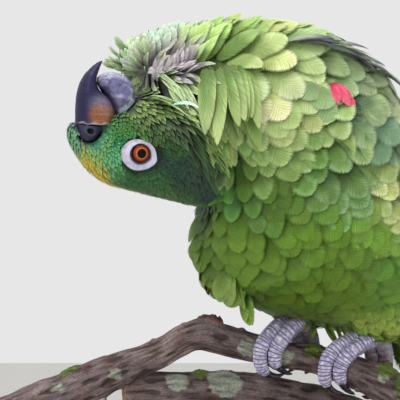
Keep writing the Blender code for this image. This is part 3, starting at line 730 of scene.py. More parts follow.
def add_coat(name, parts, finish):
    """Feathers joined in pieces of under 200,000 triangles, from (points, rows, triangles, colours, map)."""
    batches, room = [[]], 0
    for part in parts:
        size = len(part[2])
        most = max(1, MOST_TRIANGLES // size)
        for start in range(0, len(part[0]), most):
            piece = [values[start : start + most] if k != 2 else values for k, values in enumerate(part)]
            used = len(piece[0]) * size
            if room + used > MOST_TRIANGLES and batches[-1]:
                batches.append([])
                room = 0
            batches[-1].append(piece)
            room += used
    for number, batch in enumerate(batches):
        points, faces, barb, out, colours, charts, start = [], [], [], [], [], [], 0
        for spots, rows, triangles, tones, chart in batch:
            feathers, corners = spots.shape[:2]
            each = np.arange(feathers)[:, None]
            points.append(spots.reshape(-1, 3))
            faces.append((triangles[None] + start + each[..., None] * corners).reshape(-1, 3))
            barb.append((rows[..., 2] + each * BARB_STEP).ravel())
            out.append(rows[..., 3].ravel())
            colours.append(tones.reshape(-1, 3))
            charts.append(chart.reshape(-1, 2))
            start += feathers * corners
        joined = (points, faces, barb, out, colours, charts)
        points, faces, barb, out, colours, charts = map(np.concatenate, joined)
        title = name if len(batches) == 1 else f"{name}_{number + 1}"
        values = {"barb": barb, "out": out}
        piece = add_mesh(title, points, faces, finish, values, {"plumage": colours}, charts)


def hard_parts():
    """The bill, cere, eyes, toes and shanks as one surface, which feathers keep off."""
    names = ["bill_upper", "bill_lower", "cere", "eye_left", "eye_right", "shank_left", "shank_right"]
    names += [f"toe_{word}_{pair}_{spot}" for word, _ in SIDES for pair, spot in TOES]
    return BVHTree.FromPolygons(*solid_of(names))


def eye_place(side):
    """The middle of an eye in the head's frame, in millimetres."""
    ahead, crown, aside = EYE
    return np.array((ahead, crown, aside * side))


def chart_of(hull, index, weights):
    """Places on the skin's unwrap for points inside the hull's triangles."""
    return hull.chart[hull.triangles[index, weights.argmax(1)]]


def coat_parts(hull, index, weights, seed):
    """Feathers at these roots, as parts of a coat."""
    chance = np.random.default_rng(seed)
    length, width, pitch, _, _, rise, stiff, point = hull.read(hull.numbers, index, weights).T
    spots = hull.read(hull.points, index, weights)
    # tracts mix feather by feather at their edges
    near = hull.locate(spots + chance.normal(0, 1.5 * MM, spots.shape))[:2]
    web, fringe, root = np.moveaxis(hull.read(hull.colours, *near), 1, 0)
    depth = np.linalg.norm(spots - hull.read(hull.skin, index, weights), axis=1)
    count = len(index)
    length = length * (1.25 + chance.normal(0, 1, count) * (0.03 + 0.12 * np.clip(stiff * 1.5, 0, 1))) * MM
    width = width * chance.uniform(1.12, 1.28, count) * MM
    shown = np.clip(pitch * MM * 0.95 / length * (1 + 1.5 * stiff), 0.2, 0.75)
    stiff = np.clip(stiff + chance.normal(0, 0.08, count) * (stiff > 0.15), 0, 0.95)
    for _, side in SIDES:  # shorter round the eyes
        away = np.linalg.norm(spots - place("head", eye_place(side)), axis=1)
        length = length * (1 - 0.35 * (1 - smooth(8 * MM, 13 * MM, away)))
    lines, ups = shaft_lines(hull, index, weights, length, stiff)
    charts = chart_of(hull, index, weights)
    size = np.searchsorted([most * MM for most, _ in SIZES], width)
    shape = np.clip(np.round(point / 0.3), 0, 3).astype(int)
    parts = []
    for kind, (_, barbs) in enumerate(SIZES):
        barbs, teeth = (barbs * 7 // 5, 0.2) if barbs > 9 else (barbs, 0.1)
        for form, sharpness in enumerate(POINTS):
            pick = np.flatnonzero((size == kind) & (shape == form))
            if not len(pick):
                continue
            patterns = [vane(barbs, sharpness, 17 * kind + 5 * form + n, teeth) for n in range(4)]
            many = len(pick)
            sunk, loose = depth[pick][:, None], stiff[pick][:, None]
            lift = (rise[pick] * MM * chance.uniform(0.5, 1.5, many))[:, None]
            layer = chance.normal(0, 0.05 * MM, many)[:, None]
            power = np.clip(1.0 + 0.2 * sunk / MM, 1.1, 2.2) * (1 - 0.35 * np.clip(loose * 1.6, 0, 1))
            camber = (width[pick] * chance.uniform(0.01, 0.03, many))[:, None] * (1 + 3 * loose)
            sway = (length[pick] * chance.normal(0, 0.03, many) * (1 + 4 * loose[:, 0]))[:, None]
            curl = (length[pick] * chance.normal(0.02, 0.05, many))[:, None] * loose

            def height(along, aside, out):
                base = -sunk * np.clip(1 - along, 0, 1) ** power
                return base + lift * along**2 - camber * aside**2 + layer - curl * along**4

            kinds = chance.integers(0, len(patterns), many)
            roll = 0.04 + 0.14 * float(loose.mean())
            points, rows = lay_vanes(
                lines[pick], ups[pick], width[pick], patterns, kinds, height, chance, roll, sway
            )
            tones = feather_colours(rows, root[pick], web[pick], fringe[pick], chance, shown[pick])
            parts.append((points, rows, patterns[0][1], tones, bake_map(rows, charts[pick])))
    return parts


# ---------------- materials of the coat


def plumage_finish(name, sheen, roughness):
    """Feather keratin: dull barbs with a soft sheen, streaked from the shaft to the fringe."""
    made, tree, spot = start_material(
        name, Roughness=roughness, Sheen_Weight=sheen, Sheen_Roughness=0.5, IOR=1.54, Specular_IOR_Level=0.22
    )
    tone = add_node(tree, "Attribute", {"attribute_name": "plumage"})["Color"]
    barb = add_node(tree, "Attribute", {"attribute_name": "barb"})["Fac"]
    out = add_node(tree, "Attribute", {"attribute_name": "out"})["Fac"]
    # real barbs lie about 0.3 mm apart; these are drawn coarser, and a streak covers one or two of them
    inputs = {"W": barb, "Scale": 0.6, "Detail": 3.0}
    streak = add_node(tree, "TexNoise", {"noise_dimensions": "1D"}, inputs)["Fac"]
    mottle = add_node(tree, "TexNoise", {}, {"Vector": spot, "Scale": 1 / (9 * MM), "Detail": 3.0})["Fac"]
    shades = []
    for value, start, end, low, high in (
        (streak, 0.3, 0.7, 0.76, 1.20),
        (mottle, 0.3, 0.7, 0.90, 1.09),
        (out, 0.0, 0.07, 0.88, 1.0),  # the shaft
    ):
        inputs = {"Value": value, "From Min": start, "From Max": end, "To Min": low, "To Max": high}
        shades.append(add_node(tree, "MapRange", {}, inputs)["Result"])
    finish_surface(tree, tone, shades, streak, 0.4, 0.2 * MM)
    return made


def skin_finish():
    """Bare skin under the coat, in the coat's own markings darkened as painted shade, with fine pores."""
    made, tree, spot = start_material("skin_under_plumage", Roughness=0.8, IOR=1.4)
    tone = add_node(tree, "Attribute", {"attribute_name": "plumage"})["Color"]
    pores = add_node(tree, "TexNoise", {}, {"Vector": spot, "Scale": 1 / (1.6 * MM), "Detail": 4.0})["Fac"]
    finish_surface(tree, tone, [(pores, [(0.3, 0.35), (0.7, 1)])], pores, 0.5, 0.6 * MM)
    return made


def add_skin(hull):
    """The one skin under the whole coat, unwrapped for the feathers' maps."""
    # the skin takes the roots' colours, darkened further as painted shade under the coat
    tones = hull.colours[:, 2] * 0.75
    skin = add_mesh("skin", hull.skin, hull.skin_faces, skin_finish(), {}, {"plumage": tones})
    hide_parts(*FEATHERED)
    bpy.context.view_layer.objects.active = skin
    skin.select_set(True)
    skin.data.uv_layers.new(name="OFBake")
    bpy.ops.object.mode_set(mode="EDIT")
    bpy.ops.mesh.select_all(action="SELECT")
    bpy.ops.uv.smart_project(angle_limit=math.radians(70), island_margin=0.004)
    bpy.ops.object.mode_set(mode="OBJECT")
    skin.select_set(False)
    chart = taken(skin.data.uv_layers["OFBake"].data, "uv", 2, np.float32)
    hull.chart = np.zeros((len(hull.points), 2))
    hull.chart[taken(skin.data.loops, "vertex_index")] = chart


# ---------------- wings and tail

LINE_STEPS = 12  # points along a long feather's shaft
WING_ROWS = [  # ahead; lower and upper edge in degrees; the body's half width and back; thickness
    (58, 16, 46, 36, 42, 3), (53, 8, 57, 41, 47, 6), (42, 5, 63, 46, 52, 7.5),
    (22, 3, 68, 52, 54, 7.5), (-5, 4, 72, 53, 49, 6.5), (-34, 9, 75, 44, 40, 5.5),
    (-62, 18, 78, 28, 24, 4.2), (-90, 26, 79, 20, 14, 3.2), (-116, 34, 76, 17, 10, 2.4),
    (-138, 42, 68, 15.5, 8, 1.6),
]
# name: how many; share across the wing from its lower edge, first and last; root and tip ahead of the
# body's middle, first and last; width; layer of the stack in mm, first and last
QUILLS = [
    ("primary", 10, (0.10, 0.50), (-2, 6), (-137, -96), (11, 13), (0.0, 1.0)),
    ("secondary", 10, (0.30, 0.74), (0, 8), (-92, -66), (13, 14), (0.9, 1.7)),
    ("tertial", 5, (0.70, 0.93), (8, 4), (-74, -50), (15, 12), (1.6, 2.1)),
    ("great_covert", 12, (0.07, 0.92), (22, 20), (-36, -30), (12, 13), (1.9, 2.6)),
]
QUILL_COLOURS = {  # web, fringe, root, tip
    "primary": "#2f5a3e #4c7c46 #24362f #1c2440",
    "secondary": "#3f7440 #5f9450 #24362f #28436a",
    "tertial": "#4f8044 #75a35a #2c4434 #4c7c46",
    "great_covert": "#588748 #8fb06e #3a5a3c #5f8f50",
    "rectrix": "#467634 #8aab4e #8a3a2c #a9b84e",
}


def on_wing(side, ahead, share, off):
    """Points on a folded wing, this far ahead and this share up from its lower edge, and its normals."""
    row = between(WING_ROWS, ahead)
    angle = np.radians(row[..., 1] + (row[..., 2] - row[..., 1]) * share)
    depth = row[..., 5] * (1 - np.abs(2 * share - 1) ** 2.5) + 0.9 + off
    across, rise = np.cos(angle), np.sin(angle)
    half, back = row[..., 3], row[..., 4]
    spots = np.stack([ahead, (half + depth) * across * side, (back + depth) * rise], -1)
    ups = np.stack([np.zeros_like(across), across * side / half, rise / back], -1)
    return place("body", spots), unit(unit(ups) @ FRAMES["body"][1])


def long_vanes(lines, ups, widths, tones, sag, chance, hull, barbs=64):
    """Stiff feathers on given lines, as one part of a coat: points, rows, triangles, colours, map."""
    patterns = [vane(barbs, 0.22, 400 + n) for n in range(3)]
    count = len(lines)

    def height(along, aside, out):
        return -(widths * 0.07)[:, None] * aside**2 + sag * (1 - along) ** 2

    kinds = chance.integers(0, len(patterns), count)
    points, rows = lay_vanes(lines, ups, widths, patterns, kinds, height, chance)
    web, fringe, root, tip = (np.repeat([linear(tone)], count, 0) for tone in tones.split())
    colours = feather_colours(rows, root, web, fringe, chance, 0.8)
    end = smooth(0.55, 0.95, rows[..., 0:1]) * 0.8
    colours = colours * (1 - end) + tip[:, None] * end
    index, weights, _ = hull.locate(points[:, 0])
    return points, rows, patterns[0][1], colours, bake_map(rows, chart_of(hull, index, weights))


def wing_parts(hull, side, chance):
    """The flight feathers and greater coverts of one folded wing."""
    parts = []
    t = np.linspace(0, 1, LINE_STEPS)
    for kind, count, *ends in QUILLS:
        step = np.linspace(0, 1, count)
        share, root, tip, width, layer = (first + (last - first) * step for first, last in ends)
        root = root + chance.normal(0, 0.8, count)
        tip = tip + chance.normal(0, 1.0, count)
        if kind == "primary":
            tip[:2] += (9, 3)  # the outermost are shorter
        ahead = root[:, None] + (tip - root)[:, None] * t
        off = (layer - 1.0)[:, None] + 0.6 * t - 4.0 * (1 - t) ** 4
        lines, ups = on_wing(side, ahead, np.repeat(share[:, None], LINE_STEPS, 1), off)
        barbs = 30 if kind == "great_covert" else 64
        parts.append(long_vanes(lines, ups, width * MM, QUILL_COLOURS[kind], -1.2 * MM, chance, hull, barbs))
    return parts


def tail_parts(hull, chance):
    """The twelve tail feathers, the middle pair on top."""
    step = np.linspace(-1, 1, 12)
    t = np.linspace(0, 1, LINE_STEPS)
    ahead = -48 - (128 - 9 * np.abs(step) ** 1.5)[:, None] * t
    left = step[:, None] * (10 + 10 * t)
    dorsal = 3.6 - 3.0 * t - 2.4 * np.abs(step)[:, None] * (1 - 0.45 * t)
    lines = place("body", np.stack([ahead, left, dorsal], -1))
    ups = np.broadcast_to(unit(BODY_DORSAL), lines.shape)
    return [long_vanes(lines, ups, np.full(12, 15.5 * MM), QUILL_COLOURS["rectrix"], 0.0, chance, hull)]


# ---------------- feathers that stand out on their own

LOOSE_STEPS = 9  # points along a loose feather's shaft
# name: how many; first and last root and heading, in world axes (mm); length, width; point 0..1; roll about
# the shaft in degrees; lift of its middle; web, fringe and root colours
LOOSE = [
    ("beard", 18, (-88, -29, 226), (-83, -30, 236), (-0.9, -0.1, 0.35), (-0.6, -0.1, 0.8),
     9, 3.6, 0.3, 8, 0.4, "#8fb272 #cfe4b4 #6f8a5c"),
    ("beard_front", 14, (-83, -41, 227), (-74, -42, 240), (-0.7, -0.2, 0.6), (-0.3, -0.15, 0.9),
     8.5, 3.4, 0.3, 8, 0.5, "#a6bf8a #e0ecd0 #9a9a94"),
    ("beard_down", 40, (-79, -47, 230), (-58, -51, 231), (0.6, -0.2, -0.1), (0.7, -0.2, 0.3),
     8, 1.8, 0.8, 8, 0.3, "#b4adb4 #c8c1c6 #a39ca4"),
    ("lilac_down", 30, (-74, -49, 224), (-56, -52, 238), (0.3, -0.2, 0.6), (0.2, -0.2, 0.8),
     8, 2, 0.7, 8, 0.3, "#b6afb4 #c9c3c7 #a49da4"),
    ("nape_strokes", 22, (-57, -58, 206), (-48, -56, 184), (0.5, -0.08, -0.85), (0.4, -0.05, -0.9),
     13, 1.9, 0.8, 8, 0.2, "#223a26 #3c5a34 #0e1814"),
    ("nape_strokes_high", 14, (-54, -58, 213), (-43, -56, 190), (0.55, -0.08, -0.8), (0.45, -0.05, -0.88),
     14, 2, 0.8, 8, 0.3, "#34502c #7c9c50 #121c18"),
    ("slats", 10, (-79, -55, 223), (-57, -57, 216), (0.66, -0.1, -0.6), (0.5, -0.08, -0.8),
     18, 2, 0.8, 14, 1.5, "#6f8f4a #c3d6a0 #24342a"),
    ("slats_high", 11, (-76, -52, 231), (-57, -53, 226), (0.7, -0.15, -0.6), (0.4, -0.15, -0.85),
     20, 2.2, 0.8, 14, 1.7, "#86a35e #dae8bd #4f5a48"),
    ("pale_slat", 1, (-66, -57.5, 214.6), (-66, -57.5, 214.6), (1, -0.2, -0.25), (1, -0.2, -0.25),
     16, 3, 0.8, 20, 3.4, "#a9dcc0 #e6f6ea #5fae8c"),
    ("back_stripes", 10, (-12, -34, 245), (14, -30, 242), (0.95, -0.12, 0.02), (0.88, -0.05, -0.42),
     23, 4.8, 0.6, 12, 1.8, "#9fb38e #57526a #748868"),
    ("back_stripes_low", 10, (8, -28, 242), (33, -21, 232), (0.84, 0, -0.52), (0.76, 0.05, -0.64),
     24, 4.6, 0.6, 12, 1.8, "#b3bf9c #48435c #8fa27c"),
    ("green_fan", 3, (-1, -46, 229), (3, -47, 221), (0.5, -0.1, -0.85), (0.6, -0.1, -0.75),
     17, 13, 0, 4, 0.6, "#76985a #9cb880 #4f703e"),
    ("page_row", 11, (-47.5, -52, 237), (-30, -52, 238), (0.06, -0.05, -1), (0.18, -0.05, -1),
     38, 7.6, 0.35, 16, 1.2, "#6f8f48 #a5b878 #57703a"),
    ("page_row_low", 9, (-44, -54, 223), (-30, -54, 222), (0.12, -0.05, -1), (0.22, -0.05, -1),
     28, 7.6, 0.35, 16, 0.8, "#5c7a3a #869e5a #465f2e"),
    ("wing_mirror", 7, (12.5, -46, 225), (15.5, -45, 222.5), (0.25, -0.15, -1), (0.7, -0.1, -0.7),
     11, 4.8, 0.3, 8, 1.6, "#d9385c #f0708a #8f2440"),
    ("tuft_broad", 4, (-36, -20, 139), (-30, -22, 137), (-0.1, 0, -1), (0.2, 0, -1),
     17, 13, 0, 6, 1, "#5f7c30 #7a9648 #4a5f26"),
    ("belly_edge", 12, (-8, -2, 117), (26, 2, 113), (0.5, -0.3, -0.7), (0.5, -0.3, -0.7),
     10, 8, 0.1, 8, 0.6, "#6a8a2a #76963a #557022"),
    ("tuft_narrow", 4, (-30, -23, 134), (-25, -24, 132), (0.28, 0, -0.96), (0.38, 0, -0.93),
     15, 8, 0.3, 0, 0.8, "#4f7326 #7ea244 #33481e"),
]


def loose_parts(hull, chance):
    """The feathers of the table above, as parts of a coat."""
    parts = []
    for name, count, *ends, length, width, point, roll, lift, tones in LOOSE:
        for side in (1, -1) if name == "wing_mirror" else (1,):  # the far wing has its red mirror too
            t = np.linspace(0, 1, count)[:, None] if count > 1 else np.zeros((1, 1))
            first, last, first_way, last_way = map(np.array, ends)
            spots = first * (1 - t) + last * t + chance.normal(0, 0.9, (count, 3))
            headings = unit(first_way * (1 - t) + last_way * t + chance.normal(0, 0.07, (count, 3)))
            spots = spots * MM
            if side < 0:
                origin, axes = FRAMES["body"]
                flip = axes.T @ np.diag((1, -1, 1)) @ axes
                spots, headings = origin + (spots - origin) @ flip, headings @ flip
            index, weights, on_hull = hull.locate(spots)
            ups = unit(hull.read(hull.normals, index, weights))
            s = np.linspace(0, 1, LOOSE_STEPS)[None, :, None]
            lengths = (length * (1 + chance.normal(0, 0.10, count)) * MM)[:, None, None]
            start = on_hull + ups * 0.3 * MM
            along = unit(headings - ups * np.clip((headings * ups).sum(1, keepdims=True), -1, 0))
            bend = ups * (chance.normal(-0.05, 0.05, count) * length * MM)[:, None]
            lines = start[:, None] + along[:, None] * s * lengths + bend[:, None] * s**2
            lines = lines + ups[:, None] * (4 * s * (1 - s) * lift - 3.5 * (1 - s) ** 3 + 0.4 * s * lift) * MM
            angle = np.radians(roll * chance.choice((-1, 1)) + chance.normal(0, 10, count))[:, None]
            leaned = ups * np.cos(angle) + np.cross(along, ups) * np.sin(angle)
            widths = width * MM * chance.uniform(0.88, 1.12, count)
            barbs = next(barbs for most, barbs in SIZES if width <= most)
            patterns = [vane(max(barbs, round(1.1 * length)), point, 300 + n, 0.08) for n in range(3)]

            def height(along, aside, out):
                return -(widths * 0.12)[:, None] * aside**2

            leaned, kinds = np.repeat(leaned[:, None], LOOSE_STEPS, 1), chance.integers(0, 3, count)
            points, rows = lay_vanes(lines, leaned, widths, patterns, kinds, height, chance, 0.1)
            web, fringe, root = (np.repeat([linear(tone)], count, 0) for tone in tones.split())
            colours = feather_colours(rows, root, web, fringe, chance, 0.8)
            chart = bake_map(rows, chart_of(hull, index, weights))
            parts.append((points, rows, patterns[0][1], colours, chart))
    return parts


# ---------------- the whole coat


def open_coat(hull):
    """The points of the hull where feathers may start: off the horny parts, the eyes' rings, the flight
    feathers' own ground and the cut ends under them.
    """
    hard, wings = hard_parts(), BVHTree.FromPolygons(*solid_of(["wing_left", "wing_right"]))
    allowed = np.array([hard.find_nearest(point)[3] > 1.1 * MM for point in hull.points.tolist()])
    ahead = within("body", hull.points)[:, 0]
    for k in np.flatnonzero(ahead < 12):
        allowed[k] &= wings.find_nearest(hull.points[k].tolist())[3] > 1.3 * MM
    allowed &= (ahead > -60) | (hull.normals @ BODY_FORWARD > -0.6)
    for _, side in SIDES:
        apart = within("head", hull.points) - eye_place(side)
        inside = ((apart[:, 0] - 1.4) / 9.8) ** 2 + ((apart[:, 1] + 0.5) / 9.8) ** 2 < 1
        allowed &= ~(inside & (apart[:, 2] * side > -6))
    return allowed


def grow_plumage(settings):
    """The skin and the small feathers."""
    hull = coat()
    add_skin(hull)
    chance = np.random.default_rng(settings.seed)
    index, weights = scatter_roots(hull, open_coat(hull), chance, settings.tightness)
    finish = plumage_finish("contour_feather_keratin", settings.sheen, settings.roughness)
    add_coat("plumage", coat_parts(hull, index, weights, settings.seed + 2), finish)
    chance = np.random.default_rng(settings.seed + 10)
    add_coat("loose_plumage", loose_parts(hull, chance), finish)


def add_flight(settings):
    """The long feathers of both wings and the tail."""
    hull = coat()
    if hull.chart is None:
        raise RuntimeError("the skin comes before the long feathers")
    finish = plumage_finish("flight_feather_keratin", settings.sheen, settings.roughness - 0.08)
    for word, side in SIDES:
        chance = np.random.default_rng(settings.seed + 20)
        add_coat(f"quills_{word}", wing_parts(hull, side, chance), finish)
    chance = np.random.default_rng(settings.seed + 30)
    add_coat("tail_feathers", tail_parts(hull, chance), finish)


# ---------------- bill and cere

UPPER_LENGTH, LOWER_LENGTH = 34, 22  # of the bill's halves, along their middles (mm)
BILL_UPPER_ROWS = [  # millimetres: culmen ahead and crown, cutting edge ahead and crown, half width
    (28.8, -2.8, 10.6, -9.5, 8.6), (30.9, -8.6, 12.4, -14.0, 8.6), (32.6, -14.5, 17.6, -18.8, 8.1),
    (33.2, -19.5, 23.6, -21.0, 7.0), (32.7, -24.5, 26.7, -24.4, 5.4),
    (31.2, -28.6, 27.0, -28.2, 3.8), (29.2, -32.2, 27.0, -31.5, 2.1),
    (27.3, -34.2, 26.7, -34.0, 0.5),
]
BILL_LOWER_ROWS = [  # millimetres: gonys ahead and crown, cutting edge ahead and crown, half width
    (6.2, -23.5, 12.5, -11.0, 8.8), (8.8, -28.0, 15.2, -14.6, 9.0), (13.2, -30.8, 18.2, -17.6, 8.6),
    (18.0, -31.3, 21.4, -20.2, 7.6), (22.4, -30.2, 24.2, -22.0, 6.0),
    (25.4, -27.6, 25.9, -23.4, 4.0), (26.6, -25.8, 26.2, -24.4, 1.2),
]
CERE_ROWS = [  # millimetres: ridge ahead and crown, edge ahead and crown, half width
    (28.8, -2.4, 13.6, -6.2, 8.5), (28.4, 0.4, 15.2, -3.0, 8.9), (27.0, 2.6, 16.6, -0.6, 8.9),
    (24.8, 4.0, 18.4, 1.8, 8.0), (22.9, 3.6, 19.8, 2.6, 5.0),
]


def rings_between(rows, exponent, sides):
    """Rings through a ridge and an edge in the head's frame, and each ring's points around and along."""
    table = np.array(rows, float)
    ridge, edge = (np.stack([table[:, k], table[:, k + 1], 0 * table[:, 0]], 1) for k in (0, 2))
    middle, half = (ridge + edge) / 2, (ridge - edge) / 2
    angle = turns(sides)
    across, rise = (np.sign(turn) * np.abs(turn) ** (2 / exponent) for turn in (np.cos(angle), np.sin(angle)))
    spots = middle[:, None] + half[:, None] * rise[None, :, None]
    spots[..., 2] += table[:, 4:5] * across
    return spots, np.broadcast_to(rise, spots.shape[:2]), np.linspace(0, 1, len(table))[:, None]


def rough(spots, scale, seed):
    """Smooth noise from -1 to 1 at points in millimetres, with features of this size."""
    shift = Vector((seed * 17.3, seed * 5.1, -seed * 9.7))
    flat = spots.reshape(-1, 3) / scale
    return np.array([noise.noise(Vector(spot) + shift) for spot in flat]).reshape(spots.shape[:-1])


def puffed(spots, amounts):
    """Rings of points moved out from each ring's middle by these amounts."""
    away = unit(spots - spots.mean(1, keepdims=True))
    return spots + away * amounts[..., None]


def tinted(base, *layers):
    """A colour for each point: each layer is a share and a colour laid over those before it."""
    colour = np.broadcast_to(np.array(linear(base)), (*layers[0][0].shape, 3))
    for share, tone in layers:
        share = np.clip(share, 0, 1)[..., None]
        colour = colour * (1 - share) + np.array(linear(tone)) * share
    return colour


def spot_at(spots, ahead, crown, reach_ahead, reach_crown, edge):
    """1 inside an oval marking on the side of the head, fading to 0 outside it."""
    far = np.hypot((spots[..., 0] - ahead) / reach_ahead, (spots[..., 1] - crown) / reach_crown)
    return 1 - smooth(1 - edge, 1 + edge, far)


def horn_finish(name, roughness, gloss, layer_size):
    """Keratin horn: layered, a little waxy, scratched and flaking along its growth lines."""
    made, tree, spot = start_material(
        name, Roughness=roughness, IOR=1.4, Coat_Weight=gloss, Coat_Roughness=0.18, Subsurface_Weight=0.06,
        Subsurface_Scale=1.0 * MM,
    )
    tone = add_node(tree, "Attribute", {"attribute_name": "tone"})["Color"]
    along = add_node(tree, "Attribute", {"attribute_name": "along"})["Fac"]
    inputs = {"W": along, "Scale": 1 / layer_size, "Detail": 4.0}
    layers = add_node(tree, "TexNoise", {"noise_dimensions": "1D"}, inputs)["Fac"]
    inputs = {"Vector": spot, "Scale": 1 / (1.1 * MM), "Detail": 6.0, "Roughness": 0.6}
    flakes = add_node(tree, "TexNoise", {}, inputs)["Fac"]
    inputs = {"Value": flakes, "From Min": 0.3, "From Max": 0.7}
    inputs.update({"To Min": roughness - 0.1, "To Max": roughness + 0.18})
    dull = add_node(tree, "MapRange", {}, inputs)["Result"]
    both = add_node(tree, "Math", {"operation": "ADD"}, {0: layers, 1: flakes})[0]
    blotched, banded = [(0.32, (0.62, 0.62, 0.64)), (0.66, 1.15)], [(0.38, (0.82, 0.82, 0.84)), (0.62, 1.08)]
    finish_surface(tree, tone, [(flakes, blotched), (layers, banded)], both, 0.4, 0.22 * MM, dullness=dull)
    return made


def bare_skin_finish(name, roughness, depth, grain_size, stops, strength, relief):
    """Bare skin: matt, soft where light passes into it, and grained, with a dark crease round each grain."""
    weight, scale = depth
    made, tree, spot = start_material(
        name, Roughness=roughness, IOR=1.42, Subsurface_Weight=weight, Subsurface_Scale=scale
    )
    tone = add_node(tree, "Attribute", {"attribute_name": "tone"})["Color"]
    grain = add_node(tree, "TexVoronoi", {}, {"Vector": spot, "Scale": 1 / grain_size})["Distance"]
    finish_surface(tree, tone, [(grain, stops)], grain, strength, relief, sunk=True)
    return made


def add_rings(name, spots, finish, tones, numbers=()):
    """A capped piece from rings of points in the head's frame."""
    rows, columns = spots.shape[:2]
    numbers = {key: np.broadcast_to(values, (rows, columns)) for key, values in dict(numbers).items()}
    points = place("head", spots.reshape(-1, 3))
    return add_mesh(name, points, grid_faces(rows, columns, True), finish, numbers, {"tone": tones})


def add_bill(settings):
    """The hooked upper bill, the lower bill and the cere with its nostrils."""
    horn = horn_finish("grown_bill_keratin", settings.roughness + 0.1, 0.1, 0.9 * MM)
    spots, rise, along = rings_between(eased(BILL_UPPER_ROWS, 8), 2.1, 56)
    lines = rough(np.stack([along * UPPER_LENGTH + 0 * rise, 0 * rise, 0 * rise], -1), 1.3, 3)
    spots = puffed(spots, 0.10 * lines + 0.10 * rough(spots, 2.2, 1) * (1 - along))
    spots[..., 1] += 0.55 * np.exp(-along / 0.05) * np.sin(1.3 * spots[..., 0] + 0.8)
    culmen = smooth(0.25, 0.95, rise) * (1 - smooth(0.75, 1, along))
    ledge = 1 - smooth(0.0, 0.025, along + 0.012 * rough(spots, 3.0, 4))
    tones = tinted(
        "#1b1449",
        (culmen * 0.75, "#110f38"),
        (smooth(0.55, 1, along) * 0.5, "#201c3c"),
        (spot_at(spots, 20.5, -14.6, 6.0, 4.6, 0.6) * 0.8, "#8a819a"),
        (spot_at(spots, 18.6, -9.8, 7.4, 5.4, 0.35) * (1 - culmen), "#9c6038"),
        (spot_at(spots, 19.0, -12.6, 4.0, 2.4, 0.7) * 0.6, "#a07c78"),
        (spot_at(spots, 11.8, -12.8, 2.4, 4.2, 0.6) * 0.85, "#3a3150"),
        (ledge, "#b7a9b8"),
    )
    upper = add_rings("bill_upper_horn", spots, horn, tones, {"along": along * UPPER_LENGTH * MM})
    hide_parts("bill_upper")

    pale = horn_finish("worn_bill_keratin", settings.roughness - 0.04, 0.8, 1.2 * MM)
    spots, rise, along = rings_between(eased(BILL_LOWER_ROWS, 8), 2.2, 56)
    ridges = rough(np.stack([along * LOWER_LENGTH + 0 * rise, 0 * rise, 0 * rise], -1), 1.6, 6)
    spots = puffed(spots, 0.16 * ridges + 0.12 * rough(spots, 2.6, 7))
    # painted shade, dark along the cutting edge where the lower bill meets the upper
    painted_hollow_shade = 1 - smooth(-0.95, -0.35, rise)
    tones = tinted(
        "#6d6a98",
        (smooth(0.0, 0.5, rough(spots, 3.4, 8)) * 0.9, "#b9bbd6"),
        (spot_at(spots, 8.5, -17.0, 4.0, 5.0, 0.6) * 0.6, "#aebfc0"),
        (smooth(0.05, 0.4, rough(spots, 2.2, 9)) * 0.85, "#38375c"),
        (smooth(0.72, 1.0, along) * 0.55, "#d2d0e6"),
        # painted highlight: paler along the gonys, the side that faces up
        (smooth(0.45, 0.9, rise) * smooth(0.1, 0.5, along) * 0.6, "#c9c8e2"),
        (painted_hollow_shade * 0.9, "#1e1d36"),
    )
    lower = add_rings("bill_lower_horn", spots, pale, tones, {"along": along * LOWER_LENGTH * MM})
    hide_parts("bill_lower")

    stops = [(0.1, 1.15), (0.7, (0.65, 0.65, 0.68))]
    bare = bare_skin_finish("bare_cere_skin", 0.55, (0.1, 1.0 * MM), 0.55 * MM, stops, 0.45, 0.3 * MM)
    spots, rise, along = rings_between(eased(CERE_ROWS, 9), 2.1, 72)
    away = np.hypot((spots[..., 0] - 22.6) * 0.8, spots[..., 1] + 1.4)
    lip = np.exp(-(((away - 1.9) / 0.55) ** 2)) * 0.25
    hole = (1 - smooth(0.6, 1.5, away)) * 2.2
    spots = puffed(spots, 0.18 * rough(spots, 2.0, 11))
    spots[..., 2] += np.sign(spots[..., 2]) * (lip - hole) * smooth(2, 5, np.abs(spots[..., 2]))
    tones = tinted(
        "#1f1e3a",
        (smooth(0.1, 0.6, rough(spots, 2.5, 12)) * 0.6, "#362f50"),
        # painted highlight on the nostril's raised rim
        (np.exp(-(((away - 1.9) / 0.5) ** 2)) * 0.35, "#5c5474"),
        # painted shade: the nostril's hole near black
        (1 - smooth(0.8, 1.5, away), "#07070b"),
    )
    cere = add_rings("cere_skin", spots, bare, tones)
    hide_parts("cere")


# ---------------- eyes

EYE_RADIUS = 5.8
LID_OPENING = 4.1  # millimetres, from the eye's middle line to the lid
BALL_GRID, RING_GRID = (40, 64), (30, 96)  # rings and points round each


def iris_finish(pupil):
    """A wet eye: a clear, glossy front over a black pupil and an orange iris, streaked by its fibres."""
    made, tree, _ = start_material(
        "wet_eye", Roughness=0.3, IOR=1.12, Coat_Weight=1.0, Coat_Roughness=0.03, Coat_IOR=1.16
    )
    ring = add_node(tree, "Attribute", {"attribute_name": "ring"})["Fac"]
    turn = add_node(tree, "Attribute", {"attribute_name": "turn"})["Fac"]
    inputs = {"W": turn, "Scale": 9.0, "Detail": 3.0}
    fibre = add_node(tree, "TexNoise", {"noise_dimensions": "1D"}, inputs)["Fac"]
    wavy = add_node(tree, "Math", {"operation": "MULTIPLY_ADD"}, {0: fibre, 1: 0.03, 2: ring})[0]
    stops = [(pupil, (0.003, 0.003, 0.004))]
    for beyond, tone in (
        (0.03, "#8c4a1a"), (0.07, "#e08434"), (0.12, "#b04c20"),
        (0.27, "#86321a"), (0.33, "#4a180e"), (0.37, "#0e0908"),
    ):
        stops.append((pupil + beyond, linear(tone)))
    colour = add_node(tree, "ValToRGB", {}, {"Fac": wavy}, stops)["Color"]
    finish_surface(tree, colour, [(fibre, [(0.35, 0.6), (0.65, 1.2)])])
    return made


